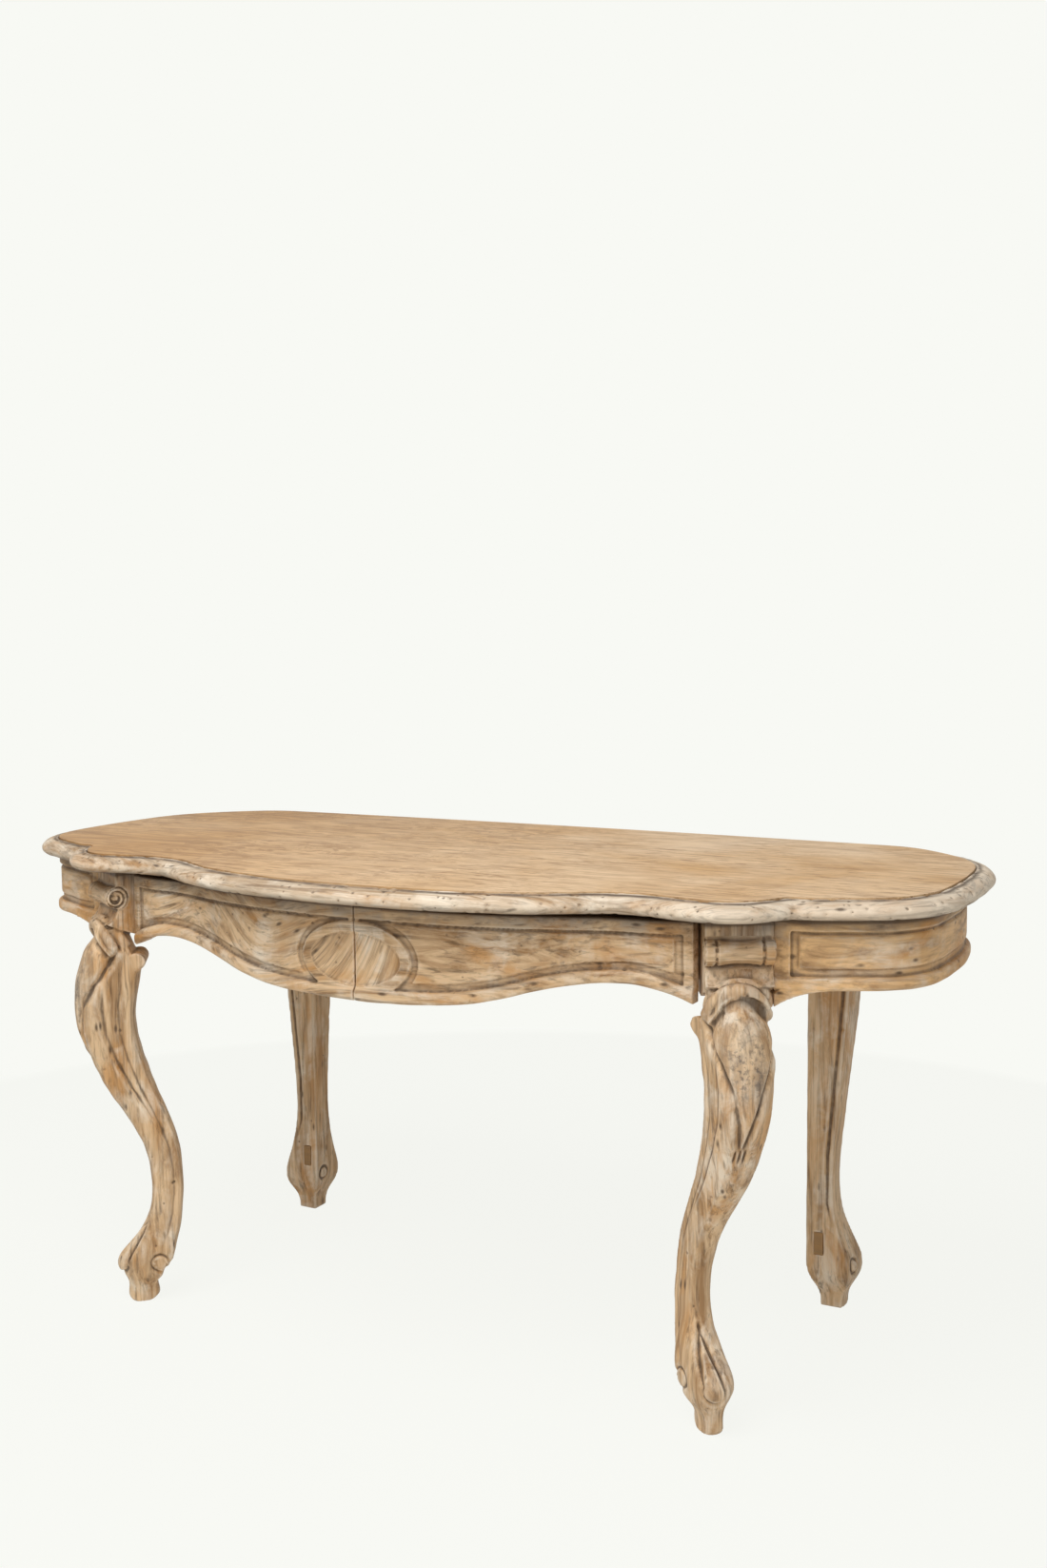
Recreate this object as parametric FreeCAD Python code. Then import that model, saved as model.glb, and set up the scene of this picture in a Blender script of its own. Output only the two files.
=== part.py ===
"""Serpentine side table in bleached oak: moulded top, carved cabriole front legs, plain back legs
and two drawers whose shaped fronts make up the whole front apron.

Row frame: X along the table, Y from front (-Y) to back (+Y), Z up.
The origin is on the floor, under the middle of the top. All lengths are in millimetres.
"""
import FreeCAD, Part
import math
import os

V = FreeCAD.Vector

# Overall sizes
TABLE_HEIGHT = 760.0
FIELD_HALF_LENGTH = 787.0
FIELD_HALF_DEPTH = 358.0
CUT_OVERRUN = 10.0

# Top: three core boards, two veneer sheets and a moulded lip
TOP_THICKNESS = 28.0
VENEER_THICKNESS = 3.0
VENEER_SEAM_GAP = 0.3
LIP_WIDTH = 30.0
LIP_QUIRK = 2.0
LIP_FILLET_WIDTH = 4.5
LIP_DROP = 1.0
LIP_STEP = 2.5
LIP_NOSE_DROP = 15.0
LIP_UNDERCUT = 9.0
CORE_FRONT_BOARD = 230.0
CORE_REAR_BOARD = 210.0

# Aprons and drawer fronts
END_OVERHANG = 5.0
FRONT_OVERHANG = 32.0
APRON_THICKNESS = 26.0
APRON_HEIGHT = 100.0
FRONT_DROP = 149.0
CORNER_DROP = 125.0
CORNER_RUN = 70.0
FRAME_PROUD = 5.0
FIELD_PROUD = 3.0
TOP_BAND = 19.0
STILE_WIDTH = 22.0
FIELD_MARGIN = 12.0
BEAD_HEIGHT = 19.0
BEAD_PROUD = 9.0
BEAD_ROUND = 6.0
OVAL_DROP = 87.0
OVAL_HALF_WIDTH = 94.0
OVAL_HALF_HEIGHT = 56.0
OVAL_RING = 16.0
OVAL_PROUD = 5.0

# Front legs
LEG_ANGLE = 35.0
LEG_SWAY = 16.0
FOOT_ANGLE = 22.9
FOOT_SETBACK = 79.6
KNEE_DROP = 126.0
KNEE_REACH = 105.0
KNEE_HALF_WIDTH = 36.0
BLOCK_HALF_WIDTH = 47.0
BLOCK_ANGLE = 60.0
BLOCK_REACH = 50.0
BLOCK_SWAY = 21.0
BLOCK_DEPTH = 92.0
BLOCK_LAP = 18.0
BLOCK_LIP_REACH = 15.0
BLOCK_LIP_DROP = 91.0
BLOCK_RECESS = 42.0
ROLL_RADIUS = 18.0
ROLL_WAIST = 15.5
ROLL_GROOVE_DEPTH = 4.0
ROLL_GROOVE_WIDTH = 4.0
ROLL_END_WIDTH = 15.0
ROLL_OVERHANG = 2.0
ROLL_DROP = 47.0
ROLL_EYE_RADIUS = 9.0
ROLL_EYE_DEPTH = 4.0
COLLAR_RADIUS = 48.0
COLLAR_THICKNESS = 15.0
COLLAR_ROUND = 6.0
COLLAR_REACH = -13.0
COLLAR_DROP = 121.0
COLLAR_TILT = 56.0
EAR_RADIUS = 15.0
EAR_REACH = 2.0
EAR_DROP = 29.0
EAR_HALF_WIDTH = 35.0
BOSS_RADIUS = 9.0
BOSS_REACH = -22.0
BOSS_HEIGHT = 66.0
BOSS_HALF_WIDTH = 28.0

# Back legs, with the patches let into their front faces
BACK_LEG_WIDTH = 75.0
BACK_LEG_GAP = 4.0
PLUG_WIDTH = 15.0
PLUG_HEIGHT = 38.0
PLUG_DEPTH = 8.0
PLUG_BOTTOM = 92.0
PLUG_INSET = 14.0

# Drawers and what carries them
DRAWER_TOP_GAP = 8.0
DRAWER_SIDE_GAP = 3.0
DRAWER_MEETING_GAP = 2.0
BOX_DROP = 84.0
BOX_HEIGHT = 58.0
BOX_WALL = 12.0
BOX_FLOOR = 6.0
BOX_FLOOR_RISE = 4.0
BOX_INNER_X = 14.0
BOX_SIDE_CLEARANCE = 17.0
RUNNER_THICKNESS = 13.0
RUNNER_WIDTH = 46.0
KICKER_WIDTH = 30.0
RUNNER_UNDER_BOX = 16.0
GUIDE_HEIGHT = 24.0
GUIDE_GAP = 1.0
GUIDE_WIDTH = 12.0
KICKER_GAP = 2.0
STOP_LENGTH = 14.0
STOP_HEIGHT = 16.0
STOP_WIDTH = 14.0
MUNTIN_THICKNESS = 12.0
RAIL_THICKNESS = 20.0
RAIL_DEPTH = 50.0

# Levels worked out from the sizes above
TOP_UNDERSIDE = TABLE_HEIGHT - TOP_THICKNESS
CORE_TOP = TABLE_HEIGHT - VENEER_THICKNESS
APRON_BOTTOM = TOP_UNDERSIDE - APRON_HEIGHT
FRONT_LOW = TOP_UNDERSIDE - FRONT_DROP
CORNER_LOW = TOP_UNDERSIDE - CORNER_DROP
DRAWER_TOP = TOP_UNDERSIDE - DRAWER_TOP_GAP
BOX_BOTTOM = TOP_UNDERSIDE - BOX_DROP
BOX_TOP = BOX_BOTTOM + BOX_HEIGHT
RUNNER_BOTTOM = BOX_BOTTOM - RUNNER_THICKNESS
ROLL_HEIGHT = TOP_UNDERSIDE - ROLL_DROP
KNEE_HEIGHT = TOP_UNDERSIDE - KNEE_DROP
EAR_HEIGHT = KNEE_HEIGHT - EAR_DROP
APRON_HALF_LENGTH = FIELD_HALF_LENGTH - END_OVERHANG
APRON_HALF_DEPTH = FIELD_HALF_DEPTH - FRONT_OVERHANG

# Places of the back legs along the top, and of the rail and the drawer backs across the frame
BACK_LEG_SHARE = 0.6203
RAIL_FRONT_SHARE = 0.62
BOX_BACK_SHARE = 0.6135
BACK_LEG_INNER_X = FIELD_HALF_LENGTH * BACK_LEG_SHARE
RAIL_FRONT_Y = -APRON_HALF_DEPTH * RAIL_FRONT_SHARE
BOX_BACK_Y = APRON_HALF_DEPTH * BOX_BACK_SHARE

# Right half of the veneered field's edge, front centre to back centre:
# share of the half length, share of the half depth, heading in degrees
FIELD_SHARES = (
    (0.0, -1.0, 0.0),
    (0.314, -0.905, 17.0),
    (0.537, -0.71, 2.0),
    (0.678, -0.748, 0.0),
    (0.772, -0.575, 66.0),
    (0.832, -0.525, 25.0),
    (0.969, -0.327, 57.0),
    (1.0, 0.03, 90.0),
    (0.919, 0.745, 133.0),
    (0.747, 0.967, 177.7),
    (0.0, 1.0, 180.0),
)
LOBE_NODE = 3
CORNER_NODE = 9

# Right half of the face line of the drawer fronts and aprons, in the same way
APRON_SHARES = (
    (0.0, -1.0, 0.0),
    (0.318, -0.911, 15.0),
    (0.543, -0.767, 4.0),
    (0.64, -0.70, 22.0),
    (0.755, -0.60, 8.0),
    (0.86, -0.53, 27.0),
    (0.971, -0.355, 56.0),
    (1.0, 0.04, 90.0),
    (0.908, 0.767, 133.0),
    (0.741, 0.972, 178.0),
    (0.0, 1.0, 180.0),
)

# Middle points of the lip's two curves: shares of their run and of their drop
OVOLO_SHARES = (0.72, 0.3)
UNDERCUT_SHARES = (0.3, 0.7)

# Lower edge of the front, centre to corner: share of the front's half width,
# share of the drop below the apron's level, heading in degrees
FRONT_EDGE_SHARES = (
    (0.0, 1.0, 0.0),
    (0.52, 0.44, 17.0),
    (0.81, 0.0, 0.0),
)

# Front leg sections: height share, inner and outer reach shares, half width share, face bulge share
LEG_SECTION_SHARES = (
    (0.0, -0.04, 0.27, 0.42, 0.30),
    (0.050, -0.09, 0.31, 0.48, 0.30),
    (0.089, -0.22, 0.43, 0.68, 0.28),
    (0.124, -0.35, 0.43, 0.72, 0.26),
    (0.155, -0.40, 0.30, 0.69, 0.24),
    (0.198, -0.48, 0.11, 0.63, 0.22),
    (0.248, -0.53, -0.04, 0.53, 0.20),
    (0.302, -0.56, -0.095, 0.49, 0.18),
    (0.366, -0.56, -0.08, 0.48, 0.18),
    (0.429, -0.515, 0.005, 0.51, 0.18),
    (0.484, -0.425, 0.155, 0.56, 0.18),
    (0.538, -0.30, 0.345, 0.62, 0.18),
    (0.602, -0.14, 0.585, 0.69, 0.18),
    (0.683, 0.02, 0.80, 0.80, 0.18),
    (0.756, 0.12, 0.945, 0.86, 0.18),
    (0.828, 0.13, 1.0, 0.90, 0.18),
    (0.891, 0.06, 0.975, 0.95, 0.18),
    (0.96, 0.07, 0.87, 0.98, 0.18),
    (1.0, 0.16, 0.79, 0.97, 0.18),
    (1.045, 0.22, 0.70, 0.95, 0.18),
)
LEG_HEAD_SHARE = LEG_SECTION_SHARES[-1][0]
SWAY_START_SHARE = 0.25
SWAY_END_SHARE = 0.69
LEG_SIDE_BULGE_SHARE = 0.07
LEG_INNER_WIDTH_SHARE = 0.92
HOLLOW_IN_SHARE = 0.10
HOLLOW_DOWN_SHARE = 1.25
BLOCK_BOTTOM = KNEE_HEIGHT * LEG_HEAD_SHARE - BLOCK_LAP

# Back leg sections: height share, near and far reach shares of the leg's width
BACK_SECTION_SHARES = (
    (0.0, 0.25, 0.74),
    (0.028, 0.235, 0.765),
    (0.050, 0.16, 0.86),
    (0.070, 0.07, 0.955),
    (0.088, 0.02, 0.98),
    (0.106, 0.0, 0.97),
    (0.135, 0.0, 0.89),
    (0.180, 0.0, 0.74),
    (0.246, 0.0, 0.60),
    (0.355, 0.0, 0.60),
    (0.500, 0.0, 0.72),
    (0.700, 0.0, 0.90),
    (0.850, 0.0, 1.0),
    (1.0, 0.0, 1.0),
)
BACK_LEG_BULGE_SHARE = 0.04


def direction(degrees):
    """Unit vector in the plan at an angle from +X."""
    angle = math.radians(degrees)
    return V(math.cos(angle), math.sin(angle), 0)


def tangent_arc(start, tangent, end):
    """Arc from start, along tangent, to end; a line where they are in line."""
    chord = end - start
    along = V(chord).normalize()
    side = tangent - along * tangent.dot(along)
    if side.Length < 1e-6:
        return Part.makeLine(start, end)
    angle = math.acos(max(-1.0, min(1.0, tangent.dot(along))))
    middle = (start + end) * 0.5 + V(side).normalize() * (chord.Length * 0.5 * math.tan(angle / 2))
    return Part.Arc(start, middle, end).toShape()


def biarc(start, start_tangent, end, end_tangent):
    """Two arcs, tangent to each other, that leave and arrive along the given tangents."""
    chord = end - start
    both = start_tangent + end_tangent
    a = 2 * (start_tangent.dot(end_tangent) - 1)
    b = -2 * chord.dot(both)
    c = chord.dot(chord)
    if abs(a) < 1e-9:
        reach = -c / b
    else:
        reach = (-b - math.sqrt(b * b - 4 * a * c)) / (2 * a)
    first = start + start_tangent * reach
    last = end - end_tangent * reach
    joint = (first + last) * 0.5
    joint_tangent = (last - first).normalize()
    return [tangent_arc(start, start_tangent, joint), tangent_arc(joint, joint_tangent, end)]


def chain(nodes):
    """Tangent arcs through (point, tangent) nodes, grouped by the stretch between two nodes."""
    return [biarc(p, t, q, s) for (p, t), (q, s) in zip(nodes[:-1], nodes[1:])]


def mirrored(shape):
    """The same shape on the other side of the table's middle plane."""
    return shape.mirror(V(0, 0, 0), V(1, 0, 0))


def outline_nodes(shares, half_length, half_depth):
    """Nodes of the right half of an outline: points, with the way it runs there."""
    return [(V(x * half_length, y * half_depth, 0), direction(heading)) for x, y, heading in shares]


def closed_wire(stretches):
    """Whole outline, from the stretches of its right half."""
    edges = [edge for stretch in stretches for edge in stretch]
    return Part.Wire(Part.__sortEdges__(edges + [mirrored(edge) for edge in edges]))


FIELD_NODES = outline_nodes(FIELD_SHARES, FIELD_HALF_LENGTH, FIELD_HALF_DEPTH)
FIELD_STRETCHES = chain(FIELD_NODES)
FIELD_WIRE = closed_wire(FIELD_STRETCHES)
APRON_WIRE = closed_wire(chain(outline_nodes(APRON_SHARES, APRON_HALF_LENGTH, APRON_HALF_DEPTH)))


def slab(wire, bottom, top):
    """Solid inside an outline, between two heights."""
    face = Part.Face(wire)
    face.translate(V(0, 0, bottom))
    return face.extrude(V(0, 0, top - bottom))


def apron_line(offset):
    """Face line of the aprons, moved out by offset."""
    return APRON_WIRE if offset == 0 else APRON_WIRE.makeOffset2D(offset)


def apron_wall(proud, bottom, top):
    """Wall all round that follows the aprons' face line, proud of it by a given amount."""
    core = slab(apron_line(-APRON_THICKNESS), bottom - CUT_OVERRUN, top + CUT_OVERRUN)
    return slab(apron_line(proud), bottom, top).cut(core)


def box(low, high):
    """Box between two corners."""
    return Part.makeBox(high.x - low.x, high.y - low.y, high.z - low.z, low)


def prism(edges, vector):
    """Solid made by pushing a closed outline along a vector."""
    return Part.Face(Part.Wire(Part.__sortEdges__(edges))).extrude(vector)


def lobe_tip():
    """Point of the field's edge out over the right front leg."""
    return FIELD_STRETCHES[LOBE_NODE][0].Vertexes[-1].Point


FRONT_FOOT = lobe_tip() - direction(-FOOT_ANGLE) * FOOT_SETBACK
LEG_OUT = direction(-LEG_ANGLE)
LEG_SIDE = direction(90 - LEG_ANGLE)
BLOCK_OUT = direction(-BLOCK_ANGLE)
BLOCK_SIDE = direction(90 - BLOCK_ANGLE)
BLOCK_CENTRE = FRONT_FOOT + LEG_OUT * BLOCK_REACH + LEG_SIDE * BLOCK_SWAY
BLOCK_FRONT_POINT = BLOCK_CENTRE - BLOCK_SIDE * BLOCK_HALF_WIDTH
BLOCK_END_POINT = BLOCK_CENTRE + BLOCK_SIDE * BLOCK_HALF_WIDTH
BOX_OUTER_X = (BLOCK_FRONT_POINT - BLOCK_OUT * BLOCK_DEPTH).x - BOX_SIDE_CLEARANCE


def to_leg(shape):
    """Places a shape made in the leg's own frame (X outwards, Y sideways) at the right front leg."""
    moved = shape.copy()
    moved.rotate(V(0, 0, 0), V(0, 0, 1), -LEG_ANGLE)
    moved.translate(FRONT_FOOT)
    return moved


def to_block(shape):
    """Places a shape made in the frame of the block's outer face at the right front leg."""
    moved = shape.copy()
    moved.rotate(V(0, 0, 0), V(0, 0, 1), -BLOCK_ANGLE)
    moved.translate(BLOCK_CENTRE)
    return moved


def half_space(point, normal, reach):
    """Large block on the side of a vertical plane that its normal points to."""
    side = V(-normal.y, normal.x, 0)
    corner = point - side * reach
    edges = [corner, corner + side * (2 * reach), corner + side * (2 * reach) + normal * (2 * reach)]
    edges.append(corner + normal * (2 * reach))
    face = Part.Face(Part.makePolygon(edges + [edges[0]]))
    return face.extrude(V(0, 0, TABLE_HEIGHT))


def lip_profile(node, tangent):
    """Section of the moulded lip, set square to the outline at one of its nodes."""
    out = V(tangent.y, -tangent.x, 0)

    def at(reach, height):
        return node + out * reach + V(0, 0, height)

    shelf = CORE_TOP
    fillet_top = TABLE_HEIGHT - LIP_DROP
    fillet_end = LIP_QUIRK + LIP_FILLET_WIDTH
    ovolo_top = fillet_top - LIP_STEP
    nose = TABLE_HEIGHT - LIP_NOSE_DROP
    flat_end = LIP_WIDTH - LIP_UNDERCUT
    ovolo_run = LIP_WIDTH - fillet_end
    corners = [at(flat_end, TOP_UNDERSIDE), at(0, TOP_UNDERSIDE), at(0, shelf), at(LIP_QUIRK, shelf)]
    corners += [at(LIP_QUIRK, fillet_top), at(fillet_end, fillet_top), at(fillet_end, ovolo_top)]
    ovolo_drop = (ovolo_top - nose) * OVOLO_SHARES[1]
    ovolo_middle = at(fillet_end + ovolo_run * OVOLO_SHARES[0], ovolo_top - ovolo_drop)
    under_drop = (nose - TOP_UNDERSIDE) * UNDERCUT_SHARES[1]
    under_middle = at(LIP_WIDTH - LIP_UNDERCUT * UNDERCUT_SHARES[0], nose - under_drop)
    edges = [Part.makeLine(a, b) for a, b in zip(corners[:-1], corners[1:])]
    edges.append(Part.Arc(corners[-1], ovolo_middle, at(LIP_WIDTH, nose)).toShape())
    edges.append(Part.Arc(at(LIP_WIDTH, nose), under_middle, corners[0]).toShape())
    return Part.Wire(edges)


def lip(edges, node, tangent):
    """Length of moulded lip swept along part of the outline."""
    sweep = Part.BRepOffsetAPI.MakePipeShell(Part.Wire(Part.__sortEdges__(edges)))
    sweep.setFrenetMode(True)
    sweep.add(lip_profile(node, tangent))
    sweep.build()
    sweep.makeSolid()
    return Part.Solid(sweep.shape())


def lip_edges(first, last):
    """Edges of the right half of the outline between two nodes."""
    return [edge for stretch in FIELD_STRETCHES[first:last] for edge in stretch]


def top_parts():
    """Core boards, veneers and moulded lips of the top."""
    core = slab(FIELD_WIRE, TOP_UNDERSIDE, CORE_TOP)
    veneer = slab(FIELD_WIRE, CORE_TOP, TABLE_HEIGHT)
    wide = FIELD_HALF_LENGTH + LIP_WIDTH
    deep = FIELD_HALF_DEPTH + LIP_WIDTH
    front_joint = CORE_FRONT_BOARD - FIELD_HALF_DEPTH
    rear_joint = FIELD_HALF_DEPTH - CORE_REAR_BOARD
    strips = ((-deep, front_joint), (front_joint, rear_joint), (rear_joint, deep))
    names = ("core_front_board", "core_middle_board", "core_rear_board")
    parts = {}
    for name, (near, far) in zip(names, strips):
        parts[name] = core.common(box(V(-wide, near, 0), V(wide, far, TABLE_HEIGHT)))
    right = box(V(VENEER_SEAM_GAP / 2, -deep, 0), V(wide, deep, TABLE_HEIGHT))
    parts["right_veneer"] = veneer.common(right)
    parts["left_veneer"] = mirrored(parts["right_veneer"])
    front = lip_edges(0, LOBE_NODE)
    back = lip_edges(CORNER_NODE, len(FIELD_STRETCHES))
    lobe, lobe_heading = FIELD_NODES[LOBE_NODE]
    corner, corner_heading = FIELD_NODES[CORNER_NODE]
    start = V(-lobe.x, lobe.y, 0)
    start_heading = V(lobe_heading.x, -lobe_heading.y, 0)
    parts["front_lip"] = lip([mirrored(edge) for edge in front] + front, start, start_heading)
    parts["right_lip"] = lip(lip_edges(LOBE_NODE, CORNER_NODE), lobe, lobe_heading)
    parts["left_lip"] = mirrored(parts["right_lip"])
    parts["rear_lip"] = lip(back + [mirrored(edge) for edge in back], corner, corner_heading)
    return parts


def front_edge(width, lift):
    """Lower edge of the front, from the middle to the corner, raised by lift."""
    drop = APRON_BOTTOM - FRONT_LOW
    nodes = []
    for x, share, heading in FRONT_EDGE_SHARES:
        angle = math.radians(heading)
        point = V(x * width, 0, APRON_BOTTOM - share * drop + lift)
        nodes.append((point, V(math.cos(angle), 0, math.sin(angle))))
    corner = V(width, 0, CORNER_LOW + lift)
    edges = [edge for stretch in chain(nodes) for edge in stretch]
    edges.append(tangent_arc(nodes[-1][0], nodes[-1][1], corner))
    return edges, nodes[0][0], corner


def front_sheet(width, low, high):
    """Solid behind the front elevation, between its lower edge raised by low and by high."""
    bottom, bottom_middle, bottom_corner = front_edge(width, low)
    top, top_middle, top_corner = front_edge(width, high)
    edges = bottom + top
    edges.append(Part.makeLine(bottom_middle, top_middle))
    edges.append(Part.makeLine(bottom_corner, top_corner))
    sheet = prism(edges, V(0, FIELD_HALF_DEPTH, 0))
    sheet.translate(V(0, -FIELD_HALF_DEPTH, 0))
    return sheet


def rounded(bead, offset):
    """Rounds the long edges of a bead that lie on its outer face."""
    outer = apron_line(offset)
    chosen = []
    for edge in bead.Edges:
        start, end = edge.Vertexes[0].Point, edge.Vertexes[-1].Point
        level = math.hypot(end.x - start.x, end.y - start.y)
        middle = edge.valueAt((edge.FirstParameter + edge.LastParameter) / 2)
        gap = outer.distToShape(Part.Vertex(middle.x, middle.y, 0))[0]
        if level > abs(end.z - start.z) and gap < 1e-3:
            chosen.append(edge)
    return bead.makeFillet(BEAD_ROUND, chosen)


def drawer_front():
    """Right drawer front: bowed panel with frame, oval half and rounded lower bead, as one carved piece."""
    reach = FIELD_HALF_LENGTH
    end = BLOCK_FRONT_POINT - BLOCK_SIDE * DRAWER_SIDE_GAP
    keep = half_space(end, BLOCK_SIDE * -1, 2 * reach)
    corner = end - BLOCK_OUT * BLOCK_RECESS
    width = corner.x
    tall = TABLE_HEIGHT
    below = box(V(DRAWER_MEETING_GAP / 2, -reach, 0), V(reach, 0, DRAWER_TOP))

    def layer(proud, low, high):
        wall = apron_wall(proud, 0, DRAWER_TOP).common(front_sheet(width, low, high))
        return wall.common(below).common(keep)

    board = layer(0, 0, tall)
    band_low = DRAWER_TOP - TOP_BAND
    frame = layer(FRAME_PROUD, 0, tall).common(box(V(0, -reach, band_low), V(reach, 0, tall)))
    bead = rounded(layer(BEAD_PROUD, 0, BEAD_HEIGHT), BEAD_PROUD)
    stile_edge = end - BLOCK_SIDE * STILE_WIDTH
    stile_cut = half_space(stile_edge, BLOCK_SIDE, 2 * reach)
    stile = layer(FRAME_PROUD, 0, tall).common(stile_cut)
    field_cut = half_space(stile_edge - BLOCK_SIDE * FIELD_MARGIN, BLOCK_SIDE * -1, 2 * reach)
    field_top = box(V(0, -reach, 0), V(reach, 0, band_low - FIELD_MARGIN / 2))
    field = layer(FIELD_PROUD, BEAD_HEIGHT + FIELD_MARGIN, tall).common(field_top).common(field_cut)
    oval = oval_prism(OVAL_HALF_WIDTH, OVAL_HALF_HEIGHT)
    inner = oval_prism(OVAL_HALF_WIDTH - OVAL_RING, OVAL_HALF_HEIGHT - OVAL_RING)
    ring = layer(OVAL_PROUD, 0, tall).common(oval).cut(inner)
    middle = layer(FIELD_PROUD, 0, tall).common(inner)
    moat = oval_prism(OVAL_HALF_WIDTH + FIELD_MARGIN, OVAL_HALF_HEIGHT + FIELD_MARGIN)
    return board.fuse([frame, bead, stile, field.cut(moat), ring, middle]).removeSplitter()


def oval_prism(half_width, half_height):
    """Upright oval of the front's centre, pushed back through the front."""
    oval = Part.Ellipse(V(0, 0, 0), half_width, half_height).toShape()
    face = Part.Face(Part.Wire([oval]))
    face.rotate(V(0, 0, 0), V(1, 0, 0), 90)
    face.translate(V(0, 0, TOP_UNDERSIDE - OVAL_DROP))
    return face.extrude(V(0, -FIELD_HALF_DEPTH, 0))


def end_apron(front, back):
    """Right end apron, bowed round from the front leg to the back leg and fitted to both."""
    reach = FIELD_HALF_LENGTH
    tall = TOP_UNDERSIDE
    keep = half_space(BLOCK_END_POINT, BLOCK_SIDE, 2 * reach)
    stop = BACK_LEG_INNER_X + BACK_LEG_WIDTH
    outside = box(V(stop, -reach, 0), V(2 * reach, reach, tall))

    def layer(proud, bottom, top):
        return apron_wall(proud, bottom, top).common(keep).common(outside)

    def bracket(proud, low, high):
        wall = layer(proud, 0, tall)
        return wall.common(bracket_sheet(low, high))

    board = layer(0, APRON_BOTTOM, tall)
    frame = layer(FRAME_PROUD, tall - TOP_BAND, tall)
    bead = rounded(layer(BEAD_PROUD, APRON_BOTTOM, APRON_BOTTOM + BEAD_HEIGHT), BEAD_PROUD)
    stile_far = BLOCK_END_POINT + BLOCK_SIDE * STILE_WIDTH
    stile = layer(FRAME_PROUD, APRON_BOTTOM, tall).common(half_space(stile_far, BLOCK_SIDE * -1, 2 * reach))
    field_cut = half_space(stile_far + BLOCK_SIDE * FIELD_MARGIN, BLOCK_SIDE, 2 * reach)
    field_low = APRON_BOTTOM + BEAD_HEIGHT + FIELD_MARGIN
    field = layer(FIELD_PROUD, field_low, tall - TOP_BAND - FIELD_MARGIN / 2).common(field_cut)
    apron = board.fuse([frame, bead, stile, field, bracket(BEAD_PROUD, 0, BEAD_HEIGHT)])
    return apron.removeSplitter().cut(front).cut(back)


def bracket_sheet(low, high):
    """Down-curved corner of the end apron beside the leg's block."""
    start = V(0, BLOCK_HALF_WIDTH, CORNER_LOW + low)
    end = V(0, BLOCK_HALF_WIDTH + CORNER_RUN, APRON_BOTTOM + low)
    raised = V(0, 0, high - low)
    curve = tangent_arc(end, V(0, -1, 0), start)
    top = curve.copy()
    top.translate(raised)
    edges = [curve, top, Part.makeLine(start, start + raised), Part.makeLine(end, end + raised)]
    sheet = prism(edges, V(2 * KNEE_REACH, 0, 0))
    sheet.translate(V(-KNEE_REACH, 0, 0))
    return to_block(sheet)


def leg_sway(height):
    """How far the leg has swung towards the table's end: not at all at the ankle, fully at the knee."""
    rise = (height / KNEE_HEIGHT - SWAY_START_SHARE) / (SWAY_END_SHARE - SWAY_START_SHARE)
    rise = max(0.0, min(1.0, rise))
    return LEG_SWAY * rise * rise * (3 - 2 * rise)


def leg_section(height, inner, outer, half, bulge):
    """Four bowed sides of a front leg at one height, in the leg's own frame."""
    near = half * LEG_INNER_WIDTH_SHARE
    corners = [V(outer, -half, 0), V(outer, half, 0), V(inner, near, 0), V(inner, -near, 0)]
    corners = [corner + V(0, leg_sway(height), height) for corner in corners]
    swell = [half * 2 * bulge, (outer - inner) * LEG_SIDE_BULGE_SHARE, half * bulge]
    pushes = [V(swell[0], 0, 0), V(0, swell[1], 0), V(-swell[2], 0, 0), V(0, -swell[1], 0)]
    edges = []
    for i, push in enumerate(pushes):
        a, b = corners[i], corners[(i + 1) % len(corners)]
        edges.append(Part.Arc(a, (a + b) * 0.5 + push, b).toShape())
    return Part.Wire(edges)


def front_leg():
    """Right front leg: cabriole shaft, block, scroll roll, collar, ears and foot bosses in one piece."""
    sections = []
    for height, inner, outer, half, bulge in LEG_SECTION_SHARES:
        swell = 2 * half * KNEE_HALF_WIDTH * bulge
        sections.append(leg_section(height * KNEE_HEIGHT, inner * KNEE_REACH,
                                    outer * KNEE_REACH - swell, half * KNEE_HALF_WIDTH, bulge))
    shaft = Part.makeLoft(sections, True, False)
    ears = cross_bar(EAR_REACH, EAR_HEIGHT, EAR_RADIUS, EAR_HALF_WIDTH)
    bosses = cross_bar(BOSS_REACH, BOSS_HEIGHT, BOSS_RADIUS, BOSS_HALF_WIDTH)
    leg = to_leg(shaft.fuse([ears, bosses]))
    return leg.fuse([leg_block(), scroll_roll(), collar()]).removeSplitter()


def cross_bar(reach, height, radius, half):
    """Round bar through the leg from side to side."""
    return Part.makeCylinder(radius, 2 * half, V(reach, leg_sway(height) - half, height), V(0, 1, 0))


def collar():
    """Upper half of a thick round-edged disc, tilted so that its rim arches over the knee like a hood."""
    disc = Part.makeCylinder(COLLAR_RADIUS, COLLAR_THICKNESS)
    disc = disc.makeFillet(COLLAR_ROUND, disc.Edges[:1] + disc.Edges[2:])
    disc.translate(V(0, 0, -COLLAR_THICKNESS / 2))
    disc.rotate(V(0, 0, 0), V(0, 1, 0), -COLLAR_TILT)
    disc.translate(V(COLLAR_REACH, 0, TOP_UNDERSIDE - COLLAR_DROP))
    reach = 2 * COLLAR_RADIUS
    return to_block(disc.common(box(V(-reach, -reach, KNEE_HEIGHT), V(reach, reach, TOP_UNDERSIDE))))


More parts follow.
